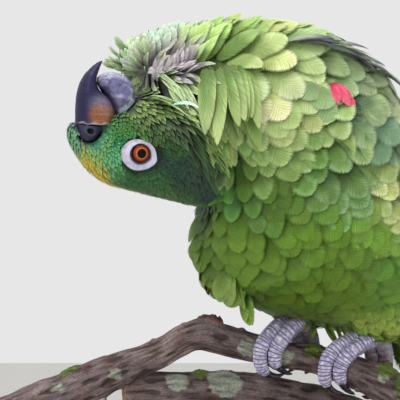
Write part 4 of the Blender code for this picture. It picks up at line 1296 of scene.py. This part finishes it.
def add_eyes(settings, hull):
    """Each eye with its pupil, iris and wet front, and the bare ring with its folds round it."""
    wet = iris_finish(settings.pupil / (2 * EYE_RADIUS * MM))
    stops = [(0.1, 1.08), (0.75, (0.78, 0.78, 0.8))]
    bare = bare_skin_finish("bare_eye_ring_skin", 0.5, (0.12, 0.8 * MM), 0.5 * MM, stops, 0.35, 0.2 * MM)
    for word, side in SIDES:
        middle = eye_place(side)
        polar = np.linspace(0, np.pi, BALL_GRID[0])[:, None]
        around = turns(BALL_GRID[1])[None]
        bulge = EYE_RADIUS + 0.25 * np.exp(-((polar / 0.5) ** 2))
        ahead, crown = bulge * np.sin(polar) * np.cos(around), bulge * np.sin(polar) * np.sin(around)
        spots = np.stack([ahead, crown, bulge * np.cos(polar) * side + 0 * around], -1)
        faces = [face[::-side] for face in grid_faces(*BALL_GRID)]
        numbers = {"ring": np.where(polar < 1.57, np.sin(polar), 1) + 0 * around, "turn": around + 0 * polar}
        eye = add_mesh(f"eye_{word}_ball", place("head", spots.reshape(-1, 3) + middle), faces, wet, numbers)
        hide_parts(f"eye_{word}")

        rings, corners = RING_GRID
        share = np.linspace(0, 1, rings)[:, None]
        around = turns(corners)[None]
        outer = 1 / np.sqrt((np.cos(around) / 8.0) ** 2 + (np.sin(around) / 7.3) ** 2)
        outer = outer + 0.6 * np.exp(-(((around - np.pi) / 0.25) ** 2)) + 0.08 * np.sin(5 * around)
        reach = LID_OPENING - 0.15 + (outer - LID_OPENING + 0.15) * share
        ahead = reach * np.cos(around) + 0.35 + 0.35 * share
        crown = reach * np.sin(around) + 1.1 * share
        rim = [(outer + 0.3) * np.cos(around) + 0.7, (outer + 0.3) * np.sin(around) + 1.1, 0 * around]
        base = []
        for start in place("head", np.stack(rim, -1)[0] + middle + (0, 0, 14 * side)):
            hit = hull.tree.ray_cast(start.tolist(), (-HEAD_LEFT * side).tolist())
            base.append(within("head", np.array(hit[0]))[2] * side - EYE[2] if hit[0] else 2.0)
        after = (np.arange(corners) + 1) % corners
        base = spread(np.array(base), np.stack([np.arange(corners), after], 1), 10)[:, 0]
        lid = math.sqrt(EYE_RADIUS**2 - LID_OPENING**2)
        roll = smooth(0.0, 0.10, share) * 0.62 - 0.25
        fall = smooth(0.08, 0.95, share)
        folds = 0.13 * np.sin(share * 24 + 0.8 * np.sin(2 * around)) * smooth(0.1, 0.3, share) * (1 - share)
        rise = (lid + roll) * (1 - fall) + (base[None] - 0.5) * fall + folds
        spots = np.stack([ahead, crown, (rise + 0 * around) * side], -1)
        spots = spots + 0.06 * rough(spots + middle, 1.2, 14)[..., None] * np.array((0, 0, side))
        tones = tinted(
            "#cfcbe0",
            (smooth(0.0, 0.5, rough(spots, 2.2, 15)) * 0.45, "#a9a8c8"),
            (smooth(0.85, 1.0, share + 0 * around) * 0.5, "#7f8aa6"),
            (1 - smooth(0.20, 0.38 + 0.17 * np.sin(around - 0.9), share + 0 * around), "#241c30"),
        )
        faces = [face[::side] for face in grid_faces(*RING_GRID)]
        points = place("head", spots.reshape(-1, 3) + middle)
        piece = add_mesh(f"eye_{word}_ring", points, faces, bare, {}, {"tone": tones})


# ---------------- branch and feet

SHANK_ROWS, TOE_ROWS = 70, 190  # rings along each
CLAW_GRID = (40, 20)  # rings, and points round each
BRANCH_SIDES = 110
CUT_RINGS = 14  # on each sawn end
PERCH_ROWS = [  # millimetres: x, y, z of the middle, radius
    (-152, 6, 61, 10.5), (-134, 5, 69, 10.5), (-115, 4, 77, 10.2), (-97, 3, 85, 9.6),
    (-79, 1.5, 92.3, 7.8), (-66, 0.5, 98.3, 6.9), (-55, 0, 104.2, 7.5), (-46, 0, 105.2, 7.9),
    (-33, 0, 101.4, 7.5), (-16, 0, 97, 7.1), (2, 0, 94, 6.8), (18, -1, 89.5, 7.6),
    (34, -3, 83, 8.8), (50, -6, 75, 9.4), (64, -8.5, 67.5, 9.6),
]
FORK_ROWS = [  # millimetres: x, y, z of the middle, radius
    (-86, 5.5, 77.5, 8.8), (-74, 7, 78.5, 9.5), (-55, 10, 79, 9.3), (-32, 14, 79, 9.2),
    (-8, 18, 75.5, 9.0), (14, 22, 70, 8.6), (28, 24.5, 65, 8.2),
]
FOOT_X = {RIGHT: -7, LEFT: 24.5}
TOE_RADIUS = 3.2
TOE_SWINGS = {"front": -11, "hind": 7}  # along X, where the pair passes the perch's side
TOE_ENDS = {  # degrees round the perch from its top, positive towards -Y
    ("front", "inner"): 136,
    ("front", "outer"): 142,
    ("hind", "inner"): -96,
    ("hind", "outer"): -112,
}
SHANK_TOPS = {RIGHT: (3, 8, 17), LEFT: (8, 6, 14)}  # from the pad


def perch_at(x):
    """The middle, direction and radius of the perch at these X."""
    rows = eased(PERCH_ROWS, 8)
    row = between(rows, x)
    step = between(rows, np.asarray(x) + 0.3)[..., :3] - between(rows, np.asarray(x) - 0.3)[..., :3]
    return row[..., :3], unit(step), row[..., 3]


def round_perch(x, turn, off):
    """Points on turns, in degrees from the perch's top towards -Y, this far off its bark."""
    middle, along, radius = perch_at(x)
    top = unit(np.array((0, 0, 1.0)) - along * along[..., 2:3])
    front = np.cross(top, along)
    front = front * -np.sign(front[..., 1:2])
    angle = np.radians(turn)[..., None]
    return middle + (top * np.cos(angle) + front * np.sin(angle)) * (radius + off)[..., None]


def toe_ridge(side, pair, turn):
    """The middle line of a pair of toes: round the perch, high over the bark at the root."""
    near_top = np.maximum(0, 1 - np.abs(turn) / 75)
    rise = TOE_RADIUS + 0.56
    rise = rise + (8.6 - rise) * near_top * near_top * (3 - 2 * near_top)
    x = FOOT_X[side] + TOE_SWINGS[pair] * np.sin(np.radians(np.abs(turn)))
    return round_perch(x, turn, rise)


def beside_ridge(side, pair, turn, aside):
    """Points this far aside of a pair's middle line, towards +X, and the way out from the perch."""
    middle = toe_ridge(side, pair, turn)
    after = toe_ridge(side, pair, turn + np.sign(turn) * 2)
    out = unit(middle - perch_at(middle[..., 0])[0])
    across = np.cross(unit(after - middle), out)
    return middle + across * aside * np.sign(across[..., 0:1]), out


def run_along(middles):
    """How far along a line of points each one lies."""
    return np.concatenate([[0], np.cumsum(np.linalg.norm(np.diff(middles, axis=0), axis=1))])


def sweep(middles, outs, radii, sides, depth=1.0):
    """Rings round a line of middles, the first point of each ring towards its way out."""
    ahead = unit(np.gradient(middles, axis=0))
    out = unit(outs - ahead * (outs * ahead).sum(1, keepdims=True))
    across = np.cross(ahead, out)
    angle = turns(sides)
    turn = angle[None, :, None]
    rings = out[:, None] * np.cos(turn) * depth + across[:, None] * np.sin(turn)
    return middles[:, None] + rings * radii[:, None, None], angle


def scale_finish():
    """Horny foot scales, a little waxy: pale raised plates with painted highlights on their crests, dark
    grooves and grains on the sides.
    """
    made, tree, spot = start_material(
        "horny_foot_scale", Roughness=0.5, IOR=1.5, Subsurface_Weight=0.08, Subsurface_Scale=0.8 * MM
    )
    tone = add_node(tree, "Attribute", {"attribute_name": "tone"})["Color"]
    plates = add_node(tree, "Attribute", {"attribute_name": "plates"})["Fac"]
    inputs = {"Vector": spot, "Scale": 1 / (0.9 * MM)}
    grains = add_node(tree, "TexVoronoi", {"feature": "DISTANCE_TO_EDGE"}, inputs)["Distance"]
    stops = [(0.02, (0.50, 0.48, 0.53)), (0.22, 1.12)]
    shade = add_node(tree, "ValToRGB", {}, {"Fac": grains}, stops)["Color"]
    off_plates = add_node(tree, "Mix", {"data_type": "RGBA"}, {0: plates, 6: shade, 7: (1, 1, 1, 1)})[2]
    dust = add_node(tree, "TexNoise", {}, {"Vector": spot, "Scale": 1 / (1.6 * MM), "Detail": 5.0})["Fac"]
    dusty = (dust, [(0.35, (0.78, 0.77, 0.80)), (0.65, 1.12)])
    finish_surface(tree, tone, [off_plates, dusty], grains, 0.4, 0.3 * MM)
    return made


def claw_finish():
    """Black claw keratin: hard and polished by wear, with paler layers here and there."""
    made, tree, spot = start_material(
        "black_claw_keratin", Roughness=0.3, IOR=1.55, Coat_Weight=0.3, Coat_Roughness=0.2
    )
    layers = add_node(tree, "TexNoise", {}, {"Vector": spot, "Scale": 1 / (0.8 * MM), "Detail": 6.0})["Fac"]
    stops = [(0.35, linear("#16151f")), (0.62, linear("#2f2d3d")), (0.8, linear("#56536b"))]
    tone = add_node(tree, "ValToRGB", {}, {"Fac": layers}, stops)["Color"]
    finish_surface(tree, tone, (), layers, 0.3, 0.15 * MM)
    return made


def scaled(name, middles, outs, radii, sides, scute, node, finish, seed):
    """A toe or shank with plates over its top, grains down its sides and pads under it."""
    length = run_along(middles)[:, None]
    spots, angle = sweep(middles, outs, radii, sides, 0.94)
    top = np.cos(angle)[None]
    skew = 0.5 * np.sin(angle)[None] * math.sin(seed)
    phase = (length + 0.25 * np.cos(length * 0.9 + seed) + skew * 0.5) / scute
    share = phase - np.floor(phase)
    plate = 1 - np.abs(2 * share - 1) ** 3
    over = smooth(0.0, 0.35, top)
    under = smooth(0.25, 0.8, -top)
    pads = 0.5 - 0.5 * np.cos(2 * np.pi * length / 6.2 + seed)
    swell = 0.34 * plate * over + 0.55 * (pads - 0.35) * under
    swell = swell + 0.12 * rough(spots, 1.6, seed) * (1 - over)
    spots = puffed(spots, swell - 0.22)
    groove = 1 - smooth(0.15, 0.75, plate)
    crest = smooth(0.5, 0.95, plate) * smooth(0.2, 0.9, 0.5 + 0.5 * rough(spots, 1.4, seed + 3))
    tones = tinted(
        "#9f97ba",
        # painted highlight on the crest of each plate on top
        (over * crest, "#f0ecff"),
        (over * groove, "#625b80"),
        (under * 0.85, "#a99c9f"),
        ((1 - over) * (1 - under) * smooth(0.1, 0.6, rough(spots, 2.2, seed + 5)) * 0.6, "#b9b3c8"),
    )
    faces, plates = grid_faces(len(middles), sides, True), np.broadcast_to(over, spots.shape[:2])
    piece = add_mesh(name, spots * MM, faces, finish, {"plates": plates}, {"tone": tones})
    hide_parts(node)


def add_feet(settings):
    """Shanks, toes wrapped round the branch and their claws."""
    scales, horn = scale_finish(), claw_finish()
    seed = 0
    for word, side in SIDES:
        pad = toe_ridge(side, "front", np.array(0.0))
        share = np.linspace(-0.16, 1, SHANK_ROWS)
        middles = pad + np.array(SHANK_TOPS[side]) * share[:, None]
        radii = np.interp(share, (-0.16, 0.02, 0.22, 0.5, 1.0), (4.2, 6.1, 5.7, 4.3, 3.8))
        radii = radii * np.minimum(1, np.linspace(0.5, 6, SHANK_ROWS))
        outs = np.tile(np.array((-0.3, -1.0, 0.3)), (SHANK_ROWS, 1))
        scaled(f"shank_{word}_scales", middles, outs, radii, 56, 1.9, f"shank_{word}", scales, 30 + side)
        for (pair, spot_name), end in TOE_ENDS.items():
            seed += 1
            aside = 3.5 * (side if spot_name == "outer" else -side)
            away = math.copysign(1, end)
            middles, outs = beside_ridge(side, pair, np.linspace(6 * away, end, TOE_ROWS), aside)
            share = np.linspace(0, 1, TOE_ROWS)
            radii = TOE_RADIUS * (1.28 - 0.30 * share)
            radii = radii * (1 - 0.3 * smooth(0.86, 1.0, share))
            radii = radii * np.sqrt(np.clip((1.012 - share) / 0.05, 0.05, 1))
            node = f"toe_{word}_{pair}_{spot_name}"
            scaled(node + "_scales", middles, outs, radii, 40, settings.scute / MM, node, scales, seed)
            share = np.linspace(0, 1, CLAW_GRID[0])
            middles, outs = beside_ridge(side, pair, end + away * (48 * share - 5), aside)
            middles = middles - outs * (0.9 + 0.9 * share)[:, None] * share[:, None]
            spots, _ = sweep(middles, outs, 1.95 * (1 - share) ** 0.62 + 0.06, CLAW_GRID[1], 1.05)
            node = f"claw_{word}_{pair}_{spot_name}"
            claw = add_mesh(node + "_horn", spots * MM, grid_faces(*CLAW_GRID, True), horn)
            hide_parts(node)


def bark_finish():
    """Thin old bark: cracked and flaking, paler on the ridges and dark in the cracks."""
    made, tree, spot = start_material("cracked_branch_bark", Roughness=0.85, IOR=1.45)
    tone = add_node(tree, "Attribute", {"attribute_name": "tone"})["Color"]
    run = add_node(tree, "Attribute", {"attribute_name": "run"})["Vector"]
    inputs = {"Vector": run, "Scale": 1 / (1.8 * MM), "Detail": 7.0, "Roughness": 0.65}
    cracks = add_node(tree, "TexNoise", {}, inputs)["Fac"]
    inputs = {"Vector": spot, "Scale": 1 / (0.9 * MM), "Detail": 5.0, "Roughness": 0.7}
    grit = add_node(tree, "TexNoise", {}, inputs)["Fac"]
    shade = (cracks, [(0.33, (0.30, 0.27, 0.27)), (0.47, 0.85), (0.68, (1.35, 1.33, 1.30))])
    speck = (grit, [(0.36, (0.62, 0.60, 0.60)), (0.66, 1.25)])
    height = add_node(tree, "Math", {"operation": "MULTIPLY_ADD"}, {0: grit, 1: 0.4, 2: cracks})[0]
    finish_surface(tree, tone, [shade, speck], height, 0.8, 0.9 * MM)
    return made


STUBS = [  # millimetres: x, y, z, radius and height of a broken twig's stub
    (-43, -3, 113, 4.6, 2.6), (-48, 1, 112, 3.0, 1.8), (38, -3, 92, 3.6, 2.4),
    (-104, -4, 92, 4.0, 1.6),
]
LICHENS = [  # millimetres: x, y, z and radius of a disc of lichen on the bark
    (-27.5, -8, 99, 5.2), (-10.5, -8, 95, 5.0), (-90, -9, 86, 4.5), (-118, -10, 82, 6.0),
    (36, -12, 86, 3.0), (-60, -3, 86, 7.5), (-38, 4, 84, 8.5),
]
MOSSES = [  # millimetres: x, y, z and radius of a patch of moss
    (4, -4, 99, 5.5), (11, -8, 92, 3.5), (38, -7, 87, 6.0), (47, -12, 82, 6.5), (55, -12, 76, 5.0),
    (-112, 3, 88, 6.0), (-50, 6, 88.5, 4.5),
]


def add_branch(name, rows, node, finish, seed, settings):
    """One limb: ridged bark with knots, lichen and moss, and sawn ends."""
    rows = eased(rows, 10)
    length = run_along(rows[:, :3])
    steps = int(length[-1] / 0.75)
    at = np.linspace(0, length[-1], steps)
    middles = np.stack([np.interp(at, length, rows[:, k]) for k in range(3)], 1)
    radii = np.interp(at, length, rows[:, 3])
    spots, angle = sweep(middles, np.tile((0.0, 0, 1), (steps, 1)), radii, BRANCH_SIDES)
    run = np.broadcast_to(at[:, None] * 0.16, spots.shape[:2])  # bark's features are long along the limb
    wave = np.stack([run, radii[:, None] * np.cos(angle), radii[:, None] * np.sin(angle)], -1)
    ridge = rough(wave, 1.5, seed)
    flake = rough(wave * (2.0, 1, 1), 3.1, seed + 1)
    lumps = rough(spots, 9.0, seed + 2)
    knots = smooth(0.38, 0.7, rough(spots, 6.5, seed + 3))
    rise = 0.55 * ridge - 0.95 * smooth(0.2, 0.55, flake) + 0.75 * lumps + 1.0 * knots
    stub, lichen, moss = np.zeros((3, *spots.shape[:2]))
    for *spot, size, height in STUBS:
        away = np.linalg.norm(spots - spot, axis=-1) + 1.2 * rough(spots, 1.6, 47)
        near = 1 - smooth(size * 0.6, size, away)
        rise = rise + near * height * (0.8 + 0.5 * rough(spots, 1.1, 48))
        stub = np.maximum(stub, near)
    inside = np.minimum(1, np.minimum(at, at[-1] - at)[:, None] / 2.0)
    rise = (rise - 0.35) * inside * settings.relief
    for *spot, size in LICHENS:
        away = np.linalg.norm(spots - spot, axis=-1) + 1.7 * rough(spots, 2.6, 41)
        lichen = np.maximum(lichen, 1 - smooth(size - 0.6, size + 0.2, away))
    for *spot, size in MOSSES:
        away = np.linalg.norm(spots - spot, axis=-1) + 2.6 * rough(spots, 2.4, 43)
        moss = np.maximum(moss, 1 - smooth(size * 0.7, size, away))
    tuft = 0.5 + 0.5 * rough(spots, 0.9, 44)
    bark = puffed(puffed(spots, rise), 0.15 * lichen + (0.3 + 0.9 * tuft) * moss)
    tones = tinted(
        "#786a6b",
        (smooth(0.05, 0.55, rough(spots, 13.0, seed + 6)) * 0.6, "#aa9894"),
        (smooth(0.15, 0.6, rough(spots, 8.0, seed + 7)) * 0.5, "#74504a"),
        (smooth(0.3, 0.85, -rise) * 0.8, "#40302f"),
        (stub * 0.7, "#6a332e"),
        (lichen * 0.95, "#a3aa9b"),
        (moss * 0.9, "#56701f"),
        (moss * smooth(0.6, 0.9, tuft), "#8aa53a"),
    )
    shares = np.linspace(0.02, 0.97, CUT_RINGS)[:, None, None]
    caps = [middles[end] + (bark[end] - middles[end])[None] * shares for end in (0, -1)]
    growth = np.sin(np.linspace(0, 60, CUT_RINGS))[:, None] * np.ones((CUT_RINGS, BRANCH_SIDES))
    wood = tinted("#b79a76", (0.5 + 0.5 * growth * 0.8, "#8c6d4c"))
    spots = np.concatenate([caps[0], bark, caps[1][::-1]])
    colours = {
        "tone": np.concatenate([wood, tones, wood[::-1]]),
        "run": np.concatenate([wave[:1].repeat(CUT_RINGS, 0), wave, wave[-1:].repeat(CUT_RINGS, 0)]) * MM,
    }
    piece = add_mesh(name, spots * MM, grid_faces(len(spots), BRANCH_SIDES, True), finish, {}, colours)
    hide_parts(node)


def add_perch(settings):
    """The cut branch and the thicker limb it forks from."""
    finish = bark_finish()
    add_branch("perch_branch_bark", PERCH_ROWS, "perch_branch", finish, 3, settings)
    add_branch("perch_fork_bark", FORK_ROWS, "perch_fork", finish, 13, settings)


def walnut_finish(wood):
    """Oiled walnut: open grain along the plank, darker bands of growth and a thin, soft gloss of oil."""
    made, tree, spot = start_material(
        "oiled_walnut", Roughness=0.42, IOR=1.5, Coat_Weight=0.25, Coat_Roughness=0.3
    )
    plank = add_node(tree, "Mapping", {}, {"Vector": spot, "Scale": (0.10, 1.0, 1.0)})["Vector"]
    inputs = {"Vector": plank, "Scale": 1 / (5 * MM), "Detail": 8.0, "Roughness": 0.6}
    grain = add_node(tree, "TexNoise", {}, inputs)["Fac"]
    inputs = {"Vector": plank, "Scale": 1 / (42 * MM), "Distortion": 6.0, "Detail": 4.0, "Detail Scale": 2.0}
    bands = add_node(tree, "TexWave", {"bands_direction": "Y"}, inputs)["Fac"]
    stops = [(0.3, [value * 0.55 for value in wood]), (0.7, [value * 1.3 for value in wood])]
    tone = add_node(tree, "ValToRGB", {}, {"Fac": grain}, stops)["Color"]
    finish_surface(tree, tone, [(bands, [(0.2, (0.7, 0.66, 0.62)), (0.8, 1.15)])], grain, 0.15, 0.15 * MM)
    return made


def steel_finish():
    """Brushed steel: grey metal with fine scratches along the rods, duller in some than in others."""
    made, tree, spot = start_material("brushed_steel", Metallic=1.0, Roughness=0.32)
    drawn = add_node(tree, "Mapping", {}, {"Vector": spot, "Scale": (1.0, 1.0, 0.06)})["Vector"]
    brush = add_node(tree, "TexNoise", {}, {"Vector": drawn, "Scale": 1 / (0.35 * MM), "Detail": 4.0})["Fac"]
    stops = [(0.35, linear("#9c9da0")), (0.65, linear("#c3c4c6"))]
    tone = add_node(tree, "ValToRGB", {}, {"Fac": brush}, stops)["Color"]
    inputs = {"Value": brush, "From Min": 0.3, "From Max": 0.7, "To Min": 0.24, "To Max": 0.42}
    dull = add_node(tree, "MapRange", {}, inputs)["Result"]
    finish_surface(tree, tone, (), brush, 0.15, 0.05 * MM, dullness=dull)
    return made


def finish_stand(settings):
    """Oiled wood on the base and brushed steel on the rods; their solids stay as they are."""
    wood, steel = walnut_finish(settings.wood), steel_finish()
    for node, finish in (("stand_base", wood), ("stand_rod_left", steel), ("stand_rod_right", steel)):
        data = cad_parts[node].data
        data.materials.clear()
        data.materials.append(finish)


# ---------------- stage


def add_stage(settings):
    """Pale floor, soft studio lights and the camera."""
    finish, tree, spot = start_material("matt_studio_floor", Roughness=0.9)
    grain = add_node(tree, "TexNoise", {}, {"Vector": spot, "Scale": 1 / (40 * MM), "Detail": 5.0})["Fac"]
    stops = [(0.3, linear("#d9d8d4")), (0.7, linear("#e0dfdb"))]
    finish_surface(tree, add_node(tree, "ValToRGB", {}, {"Fac": grain}, stops)["Color"])
    size = settings.floor_size / 2
    corners = [(-size, -size, 0), (size, -size, 0), (size, size, 0), (-size, size, 0)]
    mesh = bpy.data.meshes.new("floor")
    mesh.from_pydata(corners, [], [(0, 1, 2, 3)])
    mesh.materials.append(finish)
    add_object("floor", mesh)

    world = bpy.data.worlds.new("studio")
    world.use_nodes = True
    background = world.node_tree.nodes["Background"]
    background.inputs["Color"].default_value = (1.0, 1.0, 1.0, 1)
    background.inputs["Strength"].default_value = settings.fill
    bpy.context.scene.world = world
    aim = Vector((-0.02, -0.02, 0.17))
    for name, spot, width, power, tone in (
        ("overhead_softbox", (-0.35, -0.25, 1.35), 0.9, 1.0, (1, 0.98, 0.94)),
        ("front_softbox", (-0.9, -1.3, 0.75), 0.8, 0.42, (1, 0.99, 0.97)),
        ("back_softbox", (0.9, 0.9, 0.95), 0.7, 0.35, (0.94, 0.97, 1)),
    ):
        light = bpy.data.lights.new(name, "AREA")
        light.shape = "DISK"
        light.size = width
        light.energy = settings.key * power
        light.color = tone
        lamp = add_object(name, light)
        lamp.location = spot
        lamp.rotation_mode = "QUATERNION"
        lamp.rotation_quaternion = (aim - Vector(spot)).to_track_quat("-Z", "Y")

    camera = bpy.data.cameras.new("camera")
    camera.sensor_width = 36
    camera.lens = settings.lens
    camera.clip_start, camera.clip_end = 0.1, 60
    view = add_object("camera", camera)
    view.location = (-50 * MM, -25 * MM - 5, 169 * MM)
    view.rotation_euler = (math.radians(90), 0, 0)
    bpy.context.scene.camera = view
    bpy.context.scene.view_settings.view_transform = "Standard"


# ---------------- settings


class CoatSettings(PropertyGroup):
    """The coat of small feathers."""

    tightness: FloatProperty(
        name="Row spacing", description="Distance between feathers, as a share of each tract's own",
        default=0.70, min=0.5, max=1.5,
    )
    sheen: FloatProperty(
        name="Sheen", description="Soft light along the edges of the feathers", default=0.06, min=0, max=1,
        subtype="FACTOR",
    )
    roughness: FloatProperty(
        name="Dullness", description="Roughness of the feathers' keratin", default=0.62, min=0, max=1,
        subtype="FACTOR",
    )
    seed: IntProperty(name="Seed", description="Chooses the feathers' small differences", default=5, min=0)


class BillSettings(PropertyGroup):
    """The bill and the cere."""

    roughness: FloatProperty(
        name="Dullness", description="Roughness of the horn", default=0.42, min=0, max=1, subtype="FACTOR"
    )


class EyeSettings(PropertyGroup):
    """The eyes and their rings."""

    pupil: FloatProperty(
        name="Pupil", description="Diameter of the pupil", default=4.2 * MM, min=2 * MM, max=7 * MM,
        unit="LENGTH", precision=4,
    )


class FeetSettings(PropertyGroup):
    """The shanks, toes and claws."""

    scute: FloatProperty(
        name="Plates", description="Length of one plate along a toe", default=1.5 * MM, min=0.6 * MM,
        max=3 * MM, unit="LENGTH", precision=4,
    )


class PerchSettings(PropertyGroup):
    """The cut branch."""

    relief: FloatProperty(
        name="Relief", description="Depth of the bark's ridges, as a share of the usual", default=1.0,
        min=0, max=2,
    )


class StandSettings(PropertyGroup):
    """The display stand."""

    wood: FloatVectorProperty(
        name="Wood", description="Colour of the base's wood", default=(0.10, 0.055, 0.03), min=0, max=1,
        subtype="COLOR",
    )


class StageSettings(PropertyGroup):
    """The floor, lights and camera."""

    floor_size: FloatProperty(
        name="Floor", description="Length of the floor's sides", default=12, min=1, unit="LENGTH"
    )
    fill: FloatProperty(
        name="Fill light", description="Strength of the light from all round", default=0.8, min=0
    )
    key: FloatProperty(
        name="Key light", description="Power of the light overhead", default=11, min=0, unit="POWER"
    )
    lens: FloatProperty(
        name="Lens", description="Focal length of the camera", default=36 * 5 / 0.188, min=50
    )


# ---------------- operators


class PARROT_OT_coat(Operator):
    """Adds the skin and the small feathers over it"""

    bl_idname = "parrot.coat"
    bl_label = "Add skin and coat"

    def execute(self, context):
        grow_plumage(context.scene.parrot_coat)
        return {"FINISHED"}


class PARROT_OT_flight(Operator):
    """Adds the long feathers of the folded wings and the tail"""

    bl_idname = "parrot.flight"
    bl_label = "Add wing and tail feathers"

    def execute(self, context):
        add_flight(context.scene.parrot_coat)
        return {"FINISHED"}


class PARROT_OT_bill(Operator):
    """Adds the bill and the cere"""

    bl_idname = "parrot.bill"
    bl_label = "Add bill"

    def execute(self, context):
        add_bill(context.scene.parrot_bill)
        return {"FINISHED"}


class PARROT_OT_eyes(Operator):
    """Adds the eyes and their bare rings"""

    bl_idname = "parrot.eyes"
    bl_label = "Add eyes"

    def execute(self, context):
        add_eyes(context.scene.parrot_eyes, coat())
        return {"FINISHED"}


class PARROT_OT_feet(Operator):
    """Adds the shanks, toes and claws"""

    bl_idname = "parrot.feet"
    bl_label = "Add feet"

    def execute(self, context):
        add_feet(context.scene.parrot_feet)
        return {"FINISHED"}


class PARROT_OT_perch(Operator):
    """Adds the cut branch with its lichen and moss"""

    bl_idname = "parrot.perch"
    bl_label = "Add perch"

    def execute(self, context):
        add_perch(context.scene.parrot_perch)
        return {"FINISHED"}


class PARROT_OT_stand(Operator):
    """Finishes the stand's base and rods"""

    bl_idname = "parrot.stand"
    bl_label = "Finish stand"

    def execute(self, context):
        finish_stand(context.scene.parrot_stand)
        return {"FINISHED"}


class PARROT_OT_stage(Operator):
    """Adds the floor, the lights and the camera"""

    bl_idname = "parrot.stage"
    bl_label = "Add stage"

    def execute(self, context):
        add_stage(context.scene.parrot_stage)
        return {"FINISHED"}


class PARROT_PT_panel(Panel):
    """Lists the settings and the steps"""

    bl_idname = "PARROT_PT_panel"
    bl_label = "Amazon parrot"
    bl_space_type = "VIEW_3D"
    bl_region_type = "UI"
    bl_category = "Parrot"

    def draw(self, context):
        for settings, group, operators in GROUPS:
            box = self.layout.box()
            for name in group.__annotations__:
                box.prop(getattr(context.scene, settings), name)
            for operator in operators:
                box.operator(operator.bl_idname)


GROUPS = (
    ("parrot_coat", CoatSettings, (PARROT_OT_coat, PARROT_OT_flight)),
    ("parrot_bill", BillSettings, (PARROT_OT_bill,)),
    ("parrot_eyes", EyeSettings, (PARROT_OT_eyes,)),
    ("parrot_feet", FeetSettings, (PARROT_OT_feet,)),
    ("parrot_perch", PerchSettings, (PARROT_OT_perch,)),
    ("parrot_stand", StandSettings, (PARROT_OT_stand,)),
    ("parrot_stage", StageSettings, (PARROT_OT_stage,)),
)
OPERATORS = [operator for _, _, operators in GROUPS for operator in operators]


def register():
    for name, group, _ in GROUPS:
        bpy.utils.register_class(group)
        setattr(bpy.types.Scene, name, PointerProperty(type=group))
    for made in (*OPERATORS, PARROT_PT_panel):
        bpy.utils.register_class(made)


def unregister():
    for made in reversed((*OPERATORS, PARROT_PT_panel)):
        bpy.utils.unregister_class(made)
    for name, group, _ in reversed(GROUPS):
        delattr(bpy.types.Scene, name)
        bpy.utils.unregister_class(group)


def main():
    register()
    for operator in OPERATORS:
        group, step = operator.bl_idname.split(".")
        getattr(getattr(bpy.ops, group), step)()


if __name__ == "__main__":
    main()
